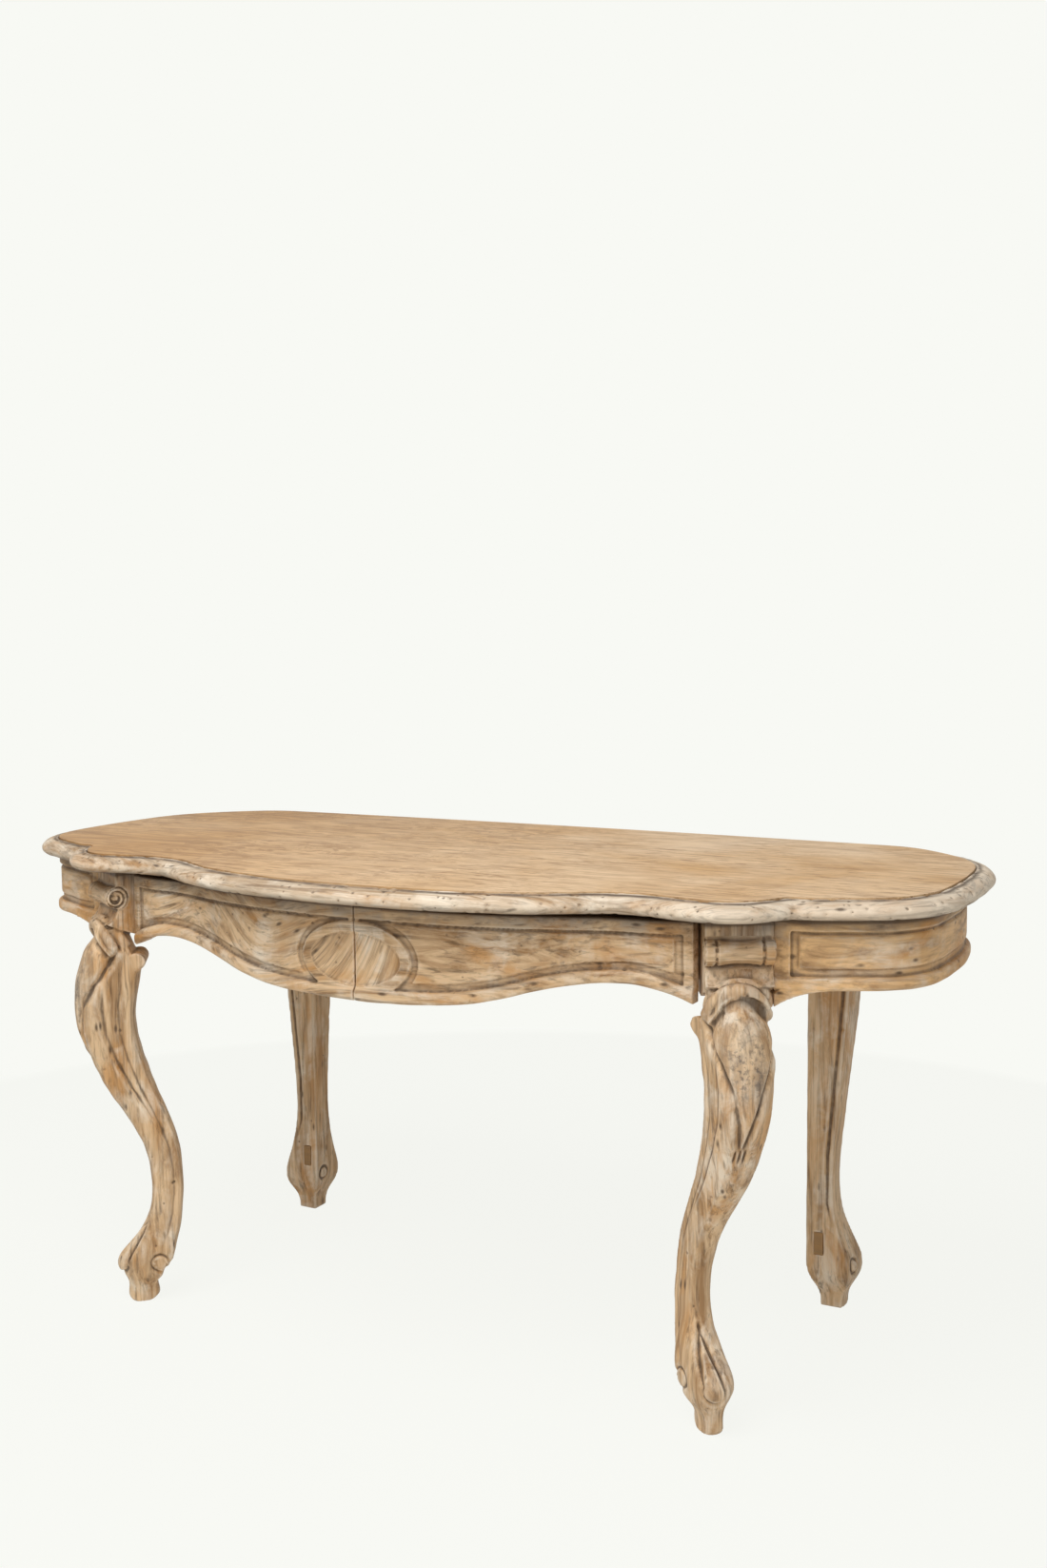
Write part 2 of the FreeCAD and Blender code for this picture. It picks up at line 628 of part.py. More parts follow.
def leg_block():
    """Block at the head of the right front leg, hollowed under the scroll."""
    neck = V(0, 0, ROLL_HEIGHT)
    hollow = V(-ROLL_RADIUS * HOLLOW_IN_SHARE, 0, ROLL_HEIGHT - ROLL_RADIUS * HOLLOW_DOWN_SHARE)
    lip_point = V(BLOCK_LIP_REACH, 0, TOP_UNDERSIDE - BLOCK_LIP_DROP)
    corners = [neck, V(0, 0, TOP_UNDERSIDE), V(-BLOCK_DEPTH, 0, TOP_UNDERSIDE)]
    corners += [V(-BLOCK_DEPTH, 0, BLOCK_BOTTOM), V(-BLOCK_DEPTH / 2, 0, BLOCK_BOTTOM), lip_point]
    edges = [Part.makeLine(a, b) for a, b in zip(corners[:-1], corners[1:])]
    edges.append(Part.Arc(lip_point, hollow, neck).toShape())
    block = prism(edges, V(0, 2 * BLOCK_HALF_WIDTH, 0))
    block.translate(V(0, -BLOCK_HALF_WIDTH, 0))
    return to_block(block)


def scroll_roll():
    """Turned-over scroll across the block's face, with grooved ends and sunk eyes."""
    half = BLOCK_HALF_WIDTH + ROLL_OVERHANG
    ring = half - ROLL_END_WIDTH
    groove = ring - ROLL_GROOVE_WIDTH
    waist = ROLL_WAIST
    points = [V(0, -half, 0), V(ROLL_RADIUS, -half, 0), V(ROLL_RADIUS, -ring, 0)]
    points += [V(ROLL_RADIUS - ROLL_GROOVE_DEPTH, -ring, 0), V(ROLL_RADIUS - ROLL_GROOVE_DEPTH, -groove, 0)]
    points += [V(ROLL_RADIUS, -groove, 0), V(ROLL_RADIUS, groove, 0)]
    points += [V(ROLL_RADIUS - ROLL_GROOVE_DEPTH, groove, 0), V(ROLL_RADIUS - ROLL_GROOVE_DEPTH, ring, 0)]
    points += [V(ROLL_RADIUS, ring, 0), V(ROLL_RADIUS, half, 0), V(0, half, 0)]
    edges = []
    for a, b in zip(points, points[1:] + points[:1]):
        if a.y == -groove and b.y == groove:
            edges.append(Part.Arc(a, V(waist, 0, 0), b).toShape())
        else:
            edges.append(Part.makeLine(a, b))
    roll = Part.Face(Part.Wire(edges)).revolve(V(0, 0, 0), V(0, 1, 0), 360)
    for side in (-1, 1):
        eye = Part.makeCylinder(ROLL_EYE_RADIUS, ROLL_EYE_DEPTH, V(0, side * half, 0), V(0, -side, 0))
        roll = roll.cut(eye)
    roll.translate(V(0, 0, ROLL_HEIGHT))
    return to_block(roll)


def back_leg_corner():
    """Inner front corner of the right back leg, set so that the leg stays under the top."""
    return V(BACK_LEG_INNER_X, APRON_HALF_DEPTH - BACK_LEG_GAP - BACK_LEG_WIDTH, 0)


def plug_box(corner):
    """Room of the patch let into the front face of the back leg."""
    low = V(corner.x + PLUG_INSET, corner.y, PLUG_BOTTOM)
    return box(low, low + V(PLUG_WIDTH, PLUG_DEPTH, PLUG_HEIGHT))


def back_leg():
    """Right back leg: flat inner faces, outer faces drawn in to the ankle, toe and pad."""
    corner = back_leg_corner()
    sections = []
    for height, near, far in BACK_SECTION_SHARES:
        z = height * TOP_UNDERSIDE
        a, b = near * BACK_LEG_WIDTH, far * BACK_LEG_WIDTH
        swell = (b - a) * BACK_LEG_BULGE_SHARE
        points = [corner + V(x, y, z) for x, y in ((a, a), (b, a), (b, b), (a, b))]
        outward = (V(0, 0, 0), V(swell, 0, 0), V(0, swell, 0), V(0, 0, 0))
        edges = []
        for i, push in enumerate(outward):
            p, q = points[i], points[(i + 1) % len(points)]
            if push.Length == 0:
                edges.append(Part.makeLine(p, q))
            else:
                edges.append(Part.Arc(p, (p + q) * 0.5 + push, q).toShape())
        sections.append(Part.Wire(edges))
    head = next(i for i, row in enumerate(BACK_SECTION_SHARES) if row[1] == 0)
    foot = Part.makeLoft(sections[:head + 1], True, False)
    shaft = Part.makeLoft(sections[head:], True, False)
    return shaft.fuse(foot).removeSplitter().cut(plug_box(corner))


def inside():
    """Space inside the aprons and drawer fronts, up to the top."""
    return slab(apron_line(-APRON_THICKNESS), 0, TOP_UNDERSIDE)


def drawer_box():
    """Sides, back and bottom of the right drawer, cut to the curved back of its front."""
    room = inside()
    front = -FIELD_HALF_DEPTH
    inner = BOX_INNER_X
    outer = BOX_OUTER_X
    back = BOX_BACK_Y
    floor = BOX_BOTTOM + BOX_FLOOR_RISE
    inner_face = inner + BOX_WALL
    outer_face = outer - BOX_WALL
    back_face = back - BOX_WALL
    return {
        "inner_side": box(V(inner, front, BOX_BOTTOM), V(inner_face, back, BOX_TOP)).common(room),
        "outer_side": box(V(outer_face, front, BOX_BOTTOM), V(outer, back, BOX_TOP)).common(room),
        "back": box(V(inner_face, back_face, BOX_BOTTOM), V(outer_face, back, BOX_TOP)),
        "bottom": box(V(inner_face, front, floor), V(outer_face, back_face, floor + BOX_FLOOR)).common(room),
    }


def carcass_parts():
    """Rails, runners, guides and kickers between the legs, with the drawer stops."""
    leg = back_leg_corner()
    rear_back = leg.y + BACK_LEG_WIDTH
    rear_face = rear_back - APRON_THICKNESS
    rear_x = BACK_LEG_INNER_X
    rail_back = RAIL_FRONT_Y + RAIL_DEPTH
    rail_low = TOP_UNDERSIDE - RAIL_THICKNESS
    block = leg_block()
    blocks = block.fuse(mirrored(block))
    half = MUNTIN_THICKNESS / 2
    rail_x = FRONT_FOOT.x
    rail = box(V(-rail_x, RAIL_FRONT_Y, rail_low), V(rail_x, rail_back, TOP_UNDERSIDE)).cut(blocks)
    kick_low = BOX_TOP + KICKER_GAP
    runner_in = BOX_OUTER_X - RUNNER_UNDER_BOX
    runner_out = runner_in + RUNNER_WIDTH
    guide_in = BOX_OUTER_X + GUIDE_GAP
    centre = BOX_INNER_X + RUNNER_UNDER_BOX
    runner = box(V(runner_in, RAIL_FRONT_Y, RUNNER_BOTTOM), V(runner_out, rear_face, BOX_BOTTOM))
    guide_top = BOX_BOTTOM + GUIDE_HEIGHT
    guide = box(V(guide_in, rail_back, BOX_BOTTOM), V(guide_in + GUIDE_WIDTH, rear_face, guide_top))
    kicker = box(V(runner_in, rail_back, kick_low), V(runner_in + KICKER_WIDTH, rear_face, TOP_UNDERSIDE))
    stop = box(V(0, BOX_BACK_Y, 0), V(STOP_WIDTH, BOX_BACK_Y + STOP_LENGTH, STOP_HEIGHT))
    stop.translate(V(runner_in, 0, BOX_BOTTOM))
    inner_stop = stop.copy()
    inner_stop.translate(V(BOX_INNER_X - runner_in, 0, 0))
    stops = Part.makeCompound([stop, inner_stop, mirrored(stop), mirrored(inner_stop)])
    parts = {
        "rear_apron": box(V(-rear_x, rear_face, APRON_BOTTOM), V(rear_x, rear_back, TOP_UNDERSIDE)),
        "front_rail": rail,
        "centre_muntin": box(V(-half, RAIL_FRONT_Y, BOX_BOTTOM), V(half, rail_back, rail_low)),
        "centre_runner": box(V(-centre, RAIL_FRONT_Y, RUNNER_BOTTOM), V(centre, rear_face, BOX_BOTTOM)),
        "centre_guide": box(V(-half, rail_back, BOX_BOTTOM), V(half, rear_face, guide_top)),
        "centre_kicker": box(V(-centre, rail_back, kick_low), V(centre, rear_face, TOP_UNDERSIDE)),
        "drawer_stops": stops,
    }
    for name, solid in (("runner", runner), ("guide", guide), ("kicker", kicker)):
        parts["right_" + name] = solid.cut(block)
        parts["left_" + name] = mirrored(parts["right_" + name])
    return parts


def all_parts():
    """Every piece of the table by name."""
    parts = top_parts()
    parts.update(carcass_parts())
    right = {"front_leg": front_leg(), "back_leg": back_leg()}
    right["end_apron"] = end_apron(right["front_leg"], right["back_leg"])
    right["patch"] = plug_box(back_leg_corner())
    right["drawer_front"] = drawer_front()
    for name, solid in drawer_box().items():
        right["drawer_" + name] = solid
    for name, solid in right.items():
        parts["right_" + name] = solid
        parts["left_" + name] = mirrored(solid)
    return parts


os.makedirs("parts", exist_ok=True)
for node, shape in all_parts().items():
    solids = shape.Solids
    whole = solids[0] if len(solids) == 1 else Part.makeCompound(solids)
    whole.exportStep("parts/" + node + ".step")
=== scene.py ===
"""Looks of a serpentine side table: carved and worn pieces over the CAD frame, and a pale studio."""
import bmesh
import bpy
import math
import numpy as np
from bpy.props import FloatProperty, FloatVectorProperty, IntProperty, PointerProperty
from bpy.types import Operator, Panel, PropertyGroup
from mathutils import Matrix, Vector
from mathutils.kdtree import KDTree


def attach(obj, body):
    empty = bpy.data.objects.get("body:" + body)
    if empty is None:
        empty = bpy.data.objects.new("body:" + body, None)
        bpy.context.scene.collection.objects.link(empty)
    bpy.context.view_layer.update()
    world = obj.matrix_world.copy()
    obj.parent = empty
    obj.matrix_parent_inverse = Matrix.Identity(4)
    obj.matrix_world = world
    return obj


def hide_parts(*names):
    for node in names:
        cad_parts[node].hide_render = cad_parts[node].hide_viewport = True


bl_info = {
    "name": "Serpentine Side Table",
    "version": (1, 0, 0),
    "blender": (4, 5, 0),
    "location": "View3D > Sidebar > Side Table",
    "description": "Carves, wears and finishes the pieces of a serpentine side table",
    "category": "Object",
}

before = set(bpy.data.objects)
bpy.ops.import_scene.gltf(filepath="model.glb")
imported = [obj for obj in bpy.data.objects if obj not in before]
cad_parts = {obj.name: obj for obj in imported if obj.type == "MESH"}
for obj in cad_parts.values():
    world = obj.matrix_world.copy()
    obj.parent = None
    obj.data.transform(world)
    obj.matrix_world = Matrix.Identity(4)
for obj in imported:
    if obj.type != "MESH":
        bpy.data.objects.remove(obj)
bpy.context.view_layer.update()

# The right front leg's own frame: middle of the foot, the way the leg bows, and its sideways sway between two
# shares of the knee's height
FOOT = (0.50508, -0.21790)
LEG_TURN = math.radians(-35.0)
LEG_SWAY = 0.016
SWAY_SHARES = (0.25, 0.69)
KNEE_HEIGHT = 0.606
KNEE_REACH = 0.105
KNEE_HALF_WIDTH = 0.036

# The leg's sections: shares of the knee's height, of its inner and outer reach and of its half width
LEG_SHARES = np.array((
    (0.0, -0.04, 0.27, 0.42),
    (0.050, -0.09, 0.31, 0.48),
    (0.089, -0.22, 0.43, 0.68),
    (0.124, -0.35, 0.43, 0.72),
    (0.155, -0.40, 0.30, 0.69),
    (0.198, -0.48, 0.11, 0.63),
    (0.248, -0.53, -0.04, 0.53),
    (0.302, -0.56, -0.095, 0.49),
    (0.366, -0.56, -0.08, 0.48),
    (0.429, -0.515, 0.005, 0.51),
    (0.484, -0.425, 0.155, 0.56),
    (0.538, -0.30, 0.345, 0.62),
    (0.602, -0.14, 0.585, 0.69),
    (0.683, 0.02, 0.80, 0.80),
    (0.756, 0.12, 0.945, 0.86),
    (0.828, 0.13, 1.0, 0.90),
    (0.891, 0.06, 0.975, 0.95),
    (0.96, 0.07, 0.87, 0.98),
    (1.0, 0.16, 0.79, 0.97),
    (1.045, 0.22, 0.70, 0.95),
))
LEG_SECTIONS = LEG_SHARES * (KNEE_HEIGHT, KNEE_REACH, KNEE_REACH, KNEE_HALF_WIDTH)

# The block on top of that leg: its middle and turn, the roll across it with the reach of the roll's grain and
# the scrolls on the roll's ends, and the tilted hood below, above which the shaft ends
BLOCK = (0.55808, -0.22938)
BLOCK_TURN = math.radians(-60.0)
ROLL_HEIGHT = 0.685
ROLL_HALF = 0.048
ROLL_REACH = 0.0225
ROLL_END = 0.006
VOLUTE_RADII = (0.004, 0.0195)
HOOD_PLACE = (-0.013, 0.611)
HOOD_TILT = math.radians(56.0)
HOOD_HALF = 0.0075
SHAFT_TOP = (0.640, 0.630)

# Rim of the knee's hood: middle of its two ends in the block's frame, lean, half width and height
RIM_PLACE = (0.0, -0.005, 0.588)
RIM_LEAN = math.radians(66.0)
RIM_HALF_WIDTH = 0.043
RIM_HEIGHT = 0.055

# Inner edge of that rim by turn from the tongue's middle in degrees and height, and the turns at which the
# hollow under it starts and is full
RIM_EDGE = np.array((
    (0.0, 0.633), (25.0, 0.630), (45.0, 0.622), (65.0, 0.609), (85.0, 0.592), (105.0, 0.580)))
RIM_SWING = (100.0, 75.0)

# Joins that run smoothly into the shaft: the ears, the ends of the rim and the ankle
EAR_HEIGHTS = (0.526, 0.570)
EAR_OUT = (0.030, 0.015)
RIM_END_HEIGHTS = (0.570, 0.598)
RIM_END_ASIDE = (0.030, 0.038)
RIM_END_OUT = (0.020, 0.030)
ANKLE_HEIGHTS = (0.012, 0.058)
JOIN_ROUNDS = 60

# The knee's tongue: its edge by height and turn from its middle in degrees, the heights at which that middle
# lies some degrees inwards of the leg's front, where it starts and ends, the short cuts at its tip, and the
# bruised patch on it
TONGUE_EDGE = np.array((
    (0.418, 0.0), (0.460, 14.0), (0.502, 32.0), (0.540, 54.0), (0.580, 82.0), (0.606, 106.0)))
TONGUE_LEAN = ((0.40, 0.58), (29.0, 13.0))
TONGUE_FOOT = (0.414, 0.430)
TONGUE_HEAD = (0.612, 0.590)
TIP_TURNS = (-13.0, 0.0, 12.0)
TIP_HEIGHTS = (0.404, 0.421)
BRUISE_HEIGHTS = (0.500, 0.580)
BRUISE_TURN = 20.0
BRUISE_HALF_TURN = 34.0

# Lines on the leg's flanks: shares of the way from its inner to its outer side, and the heights of their ends
HEEL_LINE = 0.22
HEEL_RUN = (0.105, 0.555)
FLANK_LINE = ((0.27, 0.42, 0.57), (0.27, 0.46, 0.55))
FLANK_RUN = (0.31, 0.555)
FLANK_RIDGE = 0.11

# The foot: the teardrop on its front, and the bosses on its sides with the swelling that carries them
DROP_HEIGHT = 0.070
DROP_LENGTH = 0.068
DROP_TURN = 26.0
DROP_RUN = (0.030, 0.150)
SWELL_PLACE = (-0.018, 0.074)
SWELL_REACH = (0.046, 0.052)
BOSS_PLACE = (-0.022, 0.069)

# The back legs: inner front corner, width, heights and shares of that width at their outer corner, the groove
# beside it, and the boss behind the front face
BACK_CORNER = (0.4882, 0.2470)
BACK_WIDTH = 0.075
BACK_EDGE = ((0.08, 0.13, 0.18, 0.26, 0.51, 0.62), (0.97, 0.76, 0.60, 0.60, 0.90, 1.0))
GROOVE_INSET = 0.010
GROOVE_WIDTH = 0.0035
GROOVE_RUN = (0.17, 0.70)
BACK_BOSS = (0.024, 0.074)

# The top's outline as an ellipse for the grain round it, the lip's joint, and where the lip's right end grows
# paler
OUTLINE_HALF = (0.80, 0.36)
OUTLINE_RADIUS = 0.62
OUTLINE_DEPTH = 0.5
JOINT_HEIGHTS = (0.7566, 0.7582)
PALER_END_FROM = (0.30, 0.65)

# The oval of the front with the turn and fan of its grain in degrees, and the swirl in the left drawer front
OVAL_HEIGHT = 0.645
OVAL_HALF = (0.078, 0.040)
OVAL_TURN = 58.0
OVAL_FAN = 160.0
SWIRL_PLACE = (-0.250, 0.665)
SWIRL_REACH = 0.110
SWIRL_TURN = -48.0

# Meshing and wear: how much coarser the back legs' mesh is, the radius of dents, and the rounds of smoothing
# that find the narrow lines and the wide hollows: the lines get dirt and painted shade, the hollows painted
# shade
BACK_GRID_SHARE = 1.2
DENT_RADIUS = 0.0028
CREVICE_ROUNDS = 9
HOLLOW_ROUNDS = 130

# The woods' gloss, then the studio: half the floor's width, the distances over which its shadow fades and the
# share that stays free of shadow, the camera's film and far limit, and each lamp's width, place and target
WOOD_GLOSS = 0.28
FLOOR_HALF = 40.0
SHADOW_FADE = (0.9, 1.9)
SHADOW_FREE = 0.93
FILM_WIDTH = 36.0
FAR_LIMIT = 200.0
KEY_LAMP = (2.0, (-0.2, -1.6, 3.0), (0.0, 0.0, 0.6))
FILL_LAMP = (2.2, (2.2, -2.6, 1.5), (0.2, 0.0, 0.5))


# Settings


def colour(name, description, value):
    """A colour setting in plain linear values."""
    return FloatVectorProperty(name=name, description=description, subtype="COLOR", size=3, min=0.0, max=1.0,
                               default=value)


def length(name, description, value):
    """A length setting in metres."""
    return FloatProperty(name=name, description=description, default=value, unit="LENGTH", precision=5)


class TableFinish(PropertyGroup):
    """Colours of the woods."""
    field_light: colour("Field light", "Golden ground of the veneered top", (0.70, 0.465, 0.245))
    field_mid: colour("Field mid", "Middle tone of the veneered top", (0.60, 0.365, 0.165))
    field_deep: colour("Field deep", "Orange tone of the top's left half", (0.50, 0.285, 0.118))
    field_dark: colour("Field dark", "Dark figure of the veneered top", (0.30, 0.16, 0.065))
    field_bloom: colour("Field bloom", "Pale bloom on the top's right half", (0.80, 0.61, 0.41))
    lip_light: colour("Lip light", "Bleached ground of the top's moulding", (0.66, 0.525, 0.380))
    lip_warm: colour("Lip warm", "Tan patches of the top's moulding", (0.33, 0.205, 0.105))
    carved_light: colour("Carved light", "Ground of the carved wood", (0.67, 0.465, 0.272))
    carved_warm: colour("Carved warm", "Brown streaks of the carved wood", (0.34, 0.192, 0.085))
    apron_light: colour("Apron light", "Warmer ground of the end aprons", (0.73, 0.455, 0.215))
    amber: colour("Amber", "Orange patches of old finish", (0.52, 0.255, 0.078))
    bleach: colour("Bleach", "Grey bloom left by stripping", (0.78, 0.670, 0.530))
    # Crevice darkens dirt, grain, joints and pits, and is the painted shade in hollows, under the top and in
    # gaps
    crevice: colour("Crevice", "Old dirt in the carved lines", (0.060, 0.034, 0.018))
    bruise: colour("Bruise", "Grey dirt in the pits of the knees", (0.105, 0.085, 0.072))
    inner_light: colour("Inner light", "Ground of the plain inner wood", (0.42, 0.28, 0.15))
    inner_dark: colour("Inner dark", "Grain of the plain inner wood", (0.27, 0.165, 0.08))
    # Painted shade: a near-black wood seen through the drawers' gaps
    rail: colour("Rail", "Dirty wood behind the gaps of the drawers", (0.085, 0.052, 0.027))
    patch: colour("Patch", "Let-in patches on the back legs", (0.36, 0.200, 0.080))


class TableCarving(PropertyGroup):
    """Sizes of the carving and wear."""
    leg_grid: length("Leg grid", "Mesh size on the front legs", 0.00178)
    front_grid: length("Front grid", "Mesh size on the drawer fronts and end aprons", 0.0017)
    lip_grid: length("Lip grid", "Mesh size on the top's moulding", 0.00205)
    line_depth: length("Line depth", "Depth of the carved lines", 0.0056)
    line_width: length("Line width", "Half width of the carved lines", 0.0036)
    hood_hollow: length("Hood hollow", "Depth of the hollow under the knee's hood", 0.0060)
    hood_rim: length("Hood rim", "Half thickness of the rim of the knee's hood", 0.0078)
    boss_radius: length("Boss radius", "Radius of the round bosses on the feet", 0.0140)
    boss_reach: length("Boss reach", "Distance of the bosses from the foot's middle", 0.0275)
    drop_radius: length("Drop radius", "Radius of the teardrop on the toe", 0.0190)
    volute_pitch: length("Volute pitch", "Distance between the turns of the scrolls", 0.0085)
    dents: IntProperty(name="Dents", description="Dents on each piece of the moulding", default=420, min=0)


class TableStage(PropertyGroup):
    """Camera, light and ground."""
    camera_place: FloatVectorProperty(name="Camera place", description="Camera position", subtype="XYZ",
                                      unit="LENGTH", size=3, default=(1.4112, -2.3997, 1.1531))
    camera_yaw: FloatProperty(name="Camera yaw", description="Turn of the camera", subtype="ANGLE",
                              default=math.radians(28.58))
    camera_pitch: FloatProperty(name="Camera pitch", description="Tilt of the camera below the horizon",
                                subtype="ANGLE", default=math.radians(5.84))
    camera_roll: FloatProperty(name="Camera roll", description="Roll of the camera", subtype="ANGLE",
                               default=math.radians(-0.574))
    lens: FloatProperty(name="Lens", description="Focal length on a 36 mm frame", default=39.985, min=1.0)
    ground: colour("Ground", "Colour of floor and background", (0.939, 0.947, 0.905))
    key_power: FloatProperty(name="Key power", description="Power of the high lamp", default=70.0, min=0.0)
    fill_power: FloatProperty(name="Fill power", description="Power of the low lamp", default=25.0, min=0.0)
    sky: FloatProperty(name="Sky", description="Strength of the light all round", default=0.34, min=0.0)


# Carving


def bump(distance, width):
    """Soft bump that falls off with the distance from a line."""
    return np.exp(-(distance / width) ** 2)


def between(values, low, high, soft):
    """Share from 0 to 1 that is full between two limits, with soft ends."""
    rise = np.clip((values - low) / soft + 0.5, 0, 1)
    fall = np.clip((high - values) / soft + 0.5, 0, 1)
    return rise * fall


def above(values, low, soft):
    """Share from 0 to 1 that is full above a limit, with a soft end."""
    return np.clip((values - low) / soft + 0.5, 0, 1)


def smooth(values, low, high):
    """Soft step from 0 at the first limit to 1 at the second."""
    share = np.clip((values - low) / (high - low), 0, 1)
    return share * share * (3 - 2 * share)


def ripple(points, wave, seed):
    """Smooth random waves of about one, with the given length in metres."""
    random = np.random.default_rng(seed)
    total = np.zeros(len(points))
    for _ in range(7):
        way = random.normal(size=3)
        total += np.sin(points @ way * (2 * math.pi / wave) + random.uniform(0, 2 * math.pi))
    return total / 3.0


def ring(off, depth, width):
    """Raised middle inside a carved line: off is the distance from the line, below 0 inside it."""
    return depth * (0.5 * smooth(off, 0.0, -1.6 * width) - 0.9 * bump(off, width))


def turned(points, place, turn):
    """Points in a frame on the floor: along the turn, across it and up."""
    along = np.array((math.cos(turn), math.sin(turn)))
    across = np.array((-math.sin(turn), math.cos(turn)))
    flat = points[:, :2] - np.array(place)
    return flat @ along, flat @ across, points[:, 2]


class Carving:
    """An evenly meshed copy of one or more CAD nodes, which is carved and then stands for them."""

    def __init__(self, grid, *nodes, added=None):
        copy = bpy.data.meshes.new(nodes[0])
        solid = bmesh.new()
        for node in nodes:
            solid.from_mesh(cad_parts[node].data)
        if added:
            solid.from_mesh(added)
            bpy.data.meshes.remove(added)
        bmesh.ops.remove_doubles(solid, verts=solid.verts, dist=1e-5)
        solid.to_mesh(copy)
        solid.free()
        self.nodes = nodes
        self.piece = bpy.data.objects.new("carved_" + nodes[0], copy)
        bpy.context.scene.collection.objects.link(self.piece)
        remesh = self.piece.modifiers.new("Even mesh", "REMESH")
        remesh.mode = "VOXEL"
        remesh.voxel_size = grid
        remesh.adaptivity = 0.0
        graph = bpy.context.evaluated_depsgraph_get()
        even = bpy.data.meshes.new_from_object(self.piece.evaluated_get(graph))
        self.piece.modifiers.clear()
        self.piece.data = even
        bpy.data.meshes.remove(copy)
        self.read()
        self.soften(2)

    def read(self):
        """Fetches points, normals and edges from the mesh."""
        mesh = self.piece.data
        self.points = np.zeros(len(mesh.vertices) * 3, np.float32)
        mesh.vertices.foreach_get("co", self.points)
        self.points = self.points.reshape(-1, 3).astype(float)
        self.normals = np.zeros(len(mesh.vertices) * 3, np.float32)
        mesh.vertex_normals.foreach_get("vector", self.normals)
        self.normals = self.normals.reshape(-1, 3).astype(float)
        self.edges = np.zeros(len(mesh.edges) * 2, np.int32)
        mesh.edges.foreach_get("vertices", self.edges)
        self.edges = self.edges.reshape(-1, 2)

    def write(self):
        """Puts the points back and fetches the new normals."""
        self.piece.data.vertices.foreach_set("co", self.points.astype(np.float32).ravel())
        self.piece.data.update()
        self.read()

    def averaged(self, values, rounds):
        """Values blurred over the mesh."""
        count = len(values)
        one, two = self.edges[:, 0], self.edges[:, 1]
        ways = np.bincount(one, minlength=count) + np.bincount(two, minlength=count)
        ways = np.maximum(ways, 1)
        for _ in range(rounds):
            blurred = [np.bincount(one, column[two], count) + np.bincount(two, column[one], count)
                       for column in values.T]
            values = 0.5 * values + 0.5 * np.array(blurred).T / ways[:, None]
        return values

    def soften(self, rounds):
        """Rounds the edges as long use does."""
        self.points = self.averaged(self.points, rounds)
        self.write()

    def ease(self, share, rounds):
        """Runs the surface smoothly together where the share is above 0."""
        for _ in range(rounds):
            self.points += share[:, None] * (self.averaged(self.points, 1) - self.points)
        self.write()

    def push(self, depth):
        """Moves the surface along its normals."""
        self.points += self.normals * depth[:, None]
        self.write()

    def weather(self, wave, height, loss, seed):
        """Shallow waves of the given length and height over the surface, and a little loss all over."""
        self.push(height * ripple(self.points, wave, seed) - loss)

    def dent(self, count, radius, depth, seed):
        """Small dents at random places."""
        random = np.random.default_rng(seed)
        tree = KDTree(len(self.points))
        for index, point in enumerate(self.points):
            tree.insert(point, index)
        tree.balance()
        cut = np.zeros(len(self.points))
        for index in random.integers(0, len(self.points), count):
            reach = radius * random.uniform(0.5, 1.5)
            for _, near, distance in tree.find_range(Vector(self.points[index]), reach * 2):
                cut[near] -= depth * random.uniform(0.8, 1.0) * math.exp(-(distance / reach) ** 2)
        self.push(np.maximum(cut, -depth))

    def hollow(self, rounds):
        """Depth of each point below the surface smoothed over some rounds, in millimetres."""
        rise = self.averaged(self.points, rounds) - self.points
        return 1000 * np.einsum("ij,ij->i", rise, self.normals)

    def paint(self, name, values):
        """Keeps one value per point for the material."""
        data = self.piece.data.attributes.new(name, "FLOAT", "POINT").data
        data.foreach_set("value", values.astype(np.float32))

    def finish(self, material, body, flow):
        """Adds the grain map, the maps of wear, dirt and painted shade, and lets the piece stand for its
        node.
        """
        mesh = self.piece.data
        self.paint("crevice", self.hollow(CREVICE_ROUNDS))
        self.paint("hollow", self.hollow(HOLLOW_ROUNDS))
        grain = mesh.attributes.new("flow", "FLOAT_VECTOR", "POINT").data
        grain.foreach_set("vector", flow.astype(np.float32).ravel())
        mesh.polygons.foreach_set("use_smooth", [True] * len(mesh.polygons))
        mesh.materials.clear()
        mesh.materials.append(material)
        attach(self.piece, body)
        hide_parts(*self.nodes)


# Front legs


def hood_rim(side, sizes):
    """The thick rim of a knee's hood, an arch that leans forwards, as a mesh to join to the leg."""
    rim = bmesh.new()
    start = Matrix.Translation((RIM_HALF_WIDTH, 0, 0)) @ Matrix.Rotation(math.pi / 2, 4, "X")
    bmesh.ops.create_circle(rim, cap_ends=True, segments=16, radius=sizes.hood_rim, matrix=start)
    bmesh.ops.spin(rim, geom=rim.verts[:] + rim.edges[:] + rim.faces[:], cent=(0, 0, 0), axis=(0, 0, 1),
                   angle=math.pi, steps=24)
    bmesh.ops.scale(rim, vec=(1.0, RIM_HEIGHT / RIM_HALF_WIDTH, 1.0), verts=rim.verts)
    forth = Vector((math.cos(BLOCK_TURN), math.sin(BLOCK_TURN), 0.0))
    aside = Vector((-math.sin(BLOCK_TURN), math.cos(BLOCK_TURN), 0.0))
    rise = forth * math.cos(RIM_LEAN) + Vector((0.0, 0.0, math.sin(RIM_LEAN)))
    place = Vector((*BLOCK, RIM_PLACE[2])) + forth * RIM_PLACE[0] + aside * RIM_PLACE[1]
    turn = Matrix((aside, rise, aside.cross(rise))).transposed().to_4x4()
    mirror = Matrix.Diagonal((side, 1.0, 1.0, 1.0))
    bmesh.ops.transform(rim, matrix=mirror @ Matrix.Translation(place) @ turn, verts=rim.verts)
    bmesh.ops.recalc_face_normals(rim, faces=rim.faces)
    mesh = bpy.data.meshes.new("hood_rim")
    rim.to_mesh(mesh)
    rim.free()
    return mesh


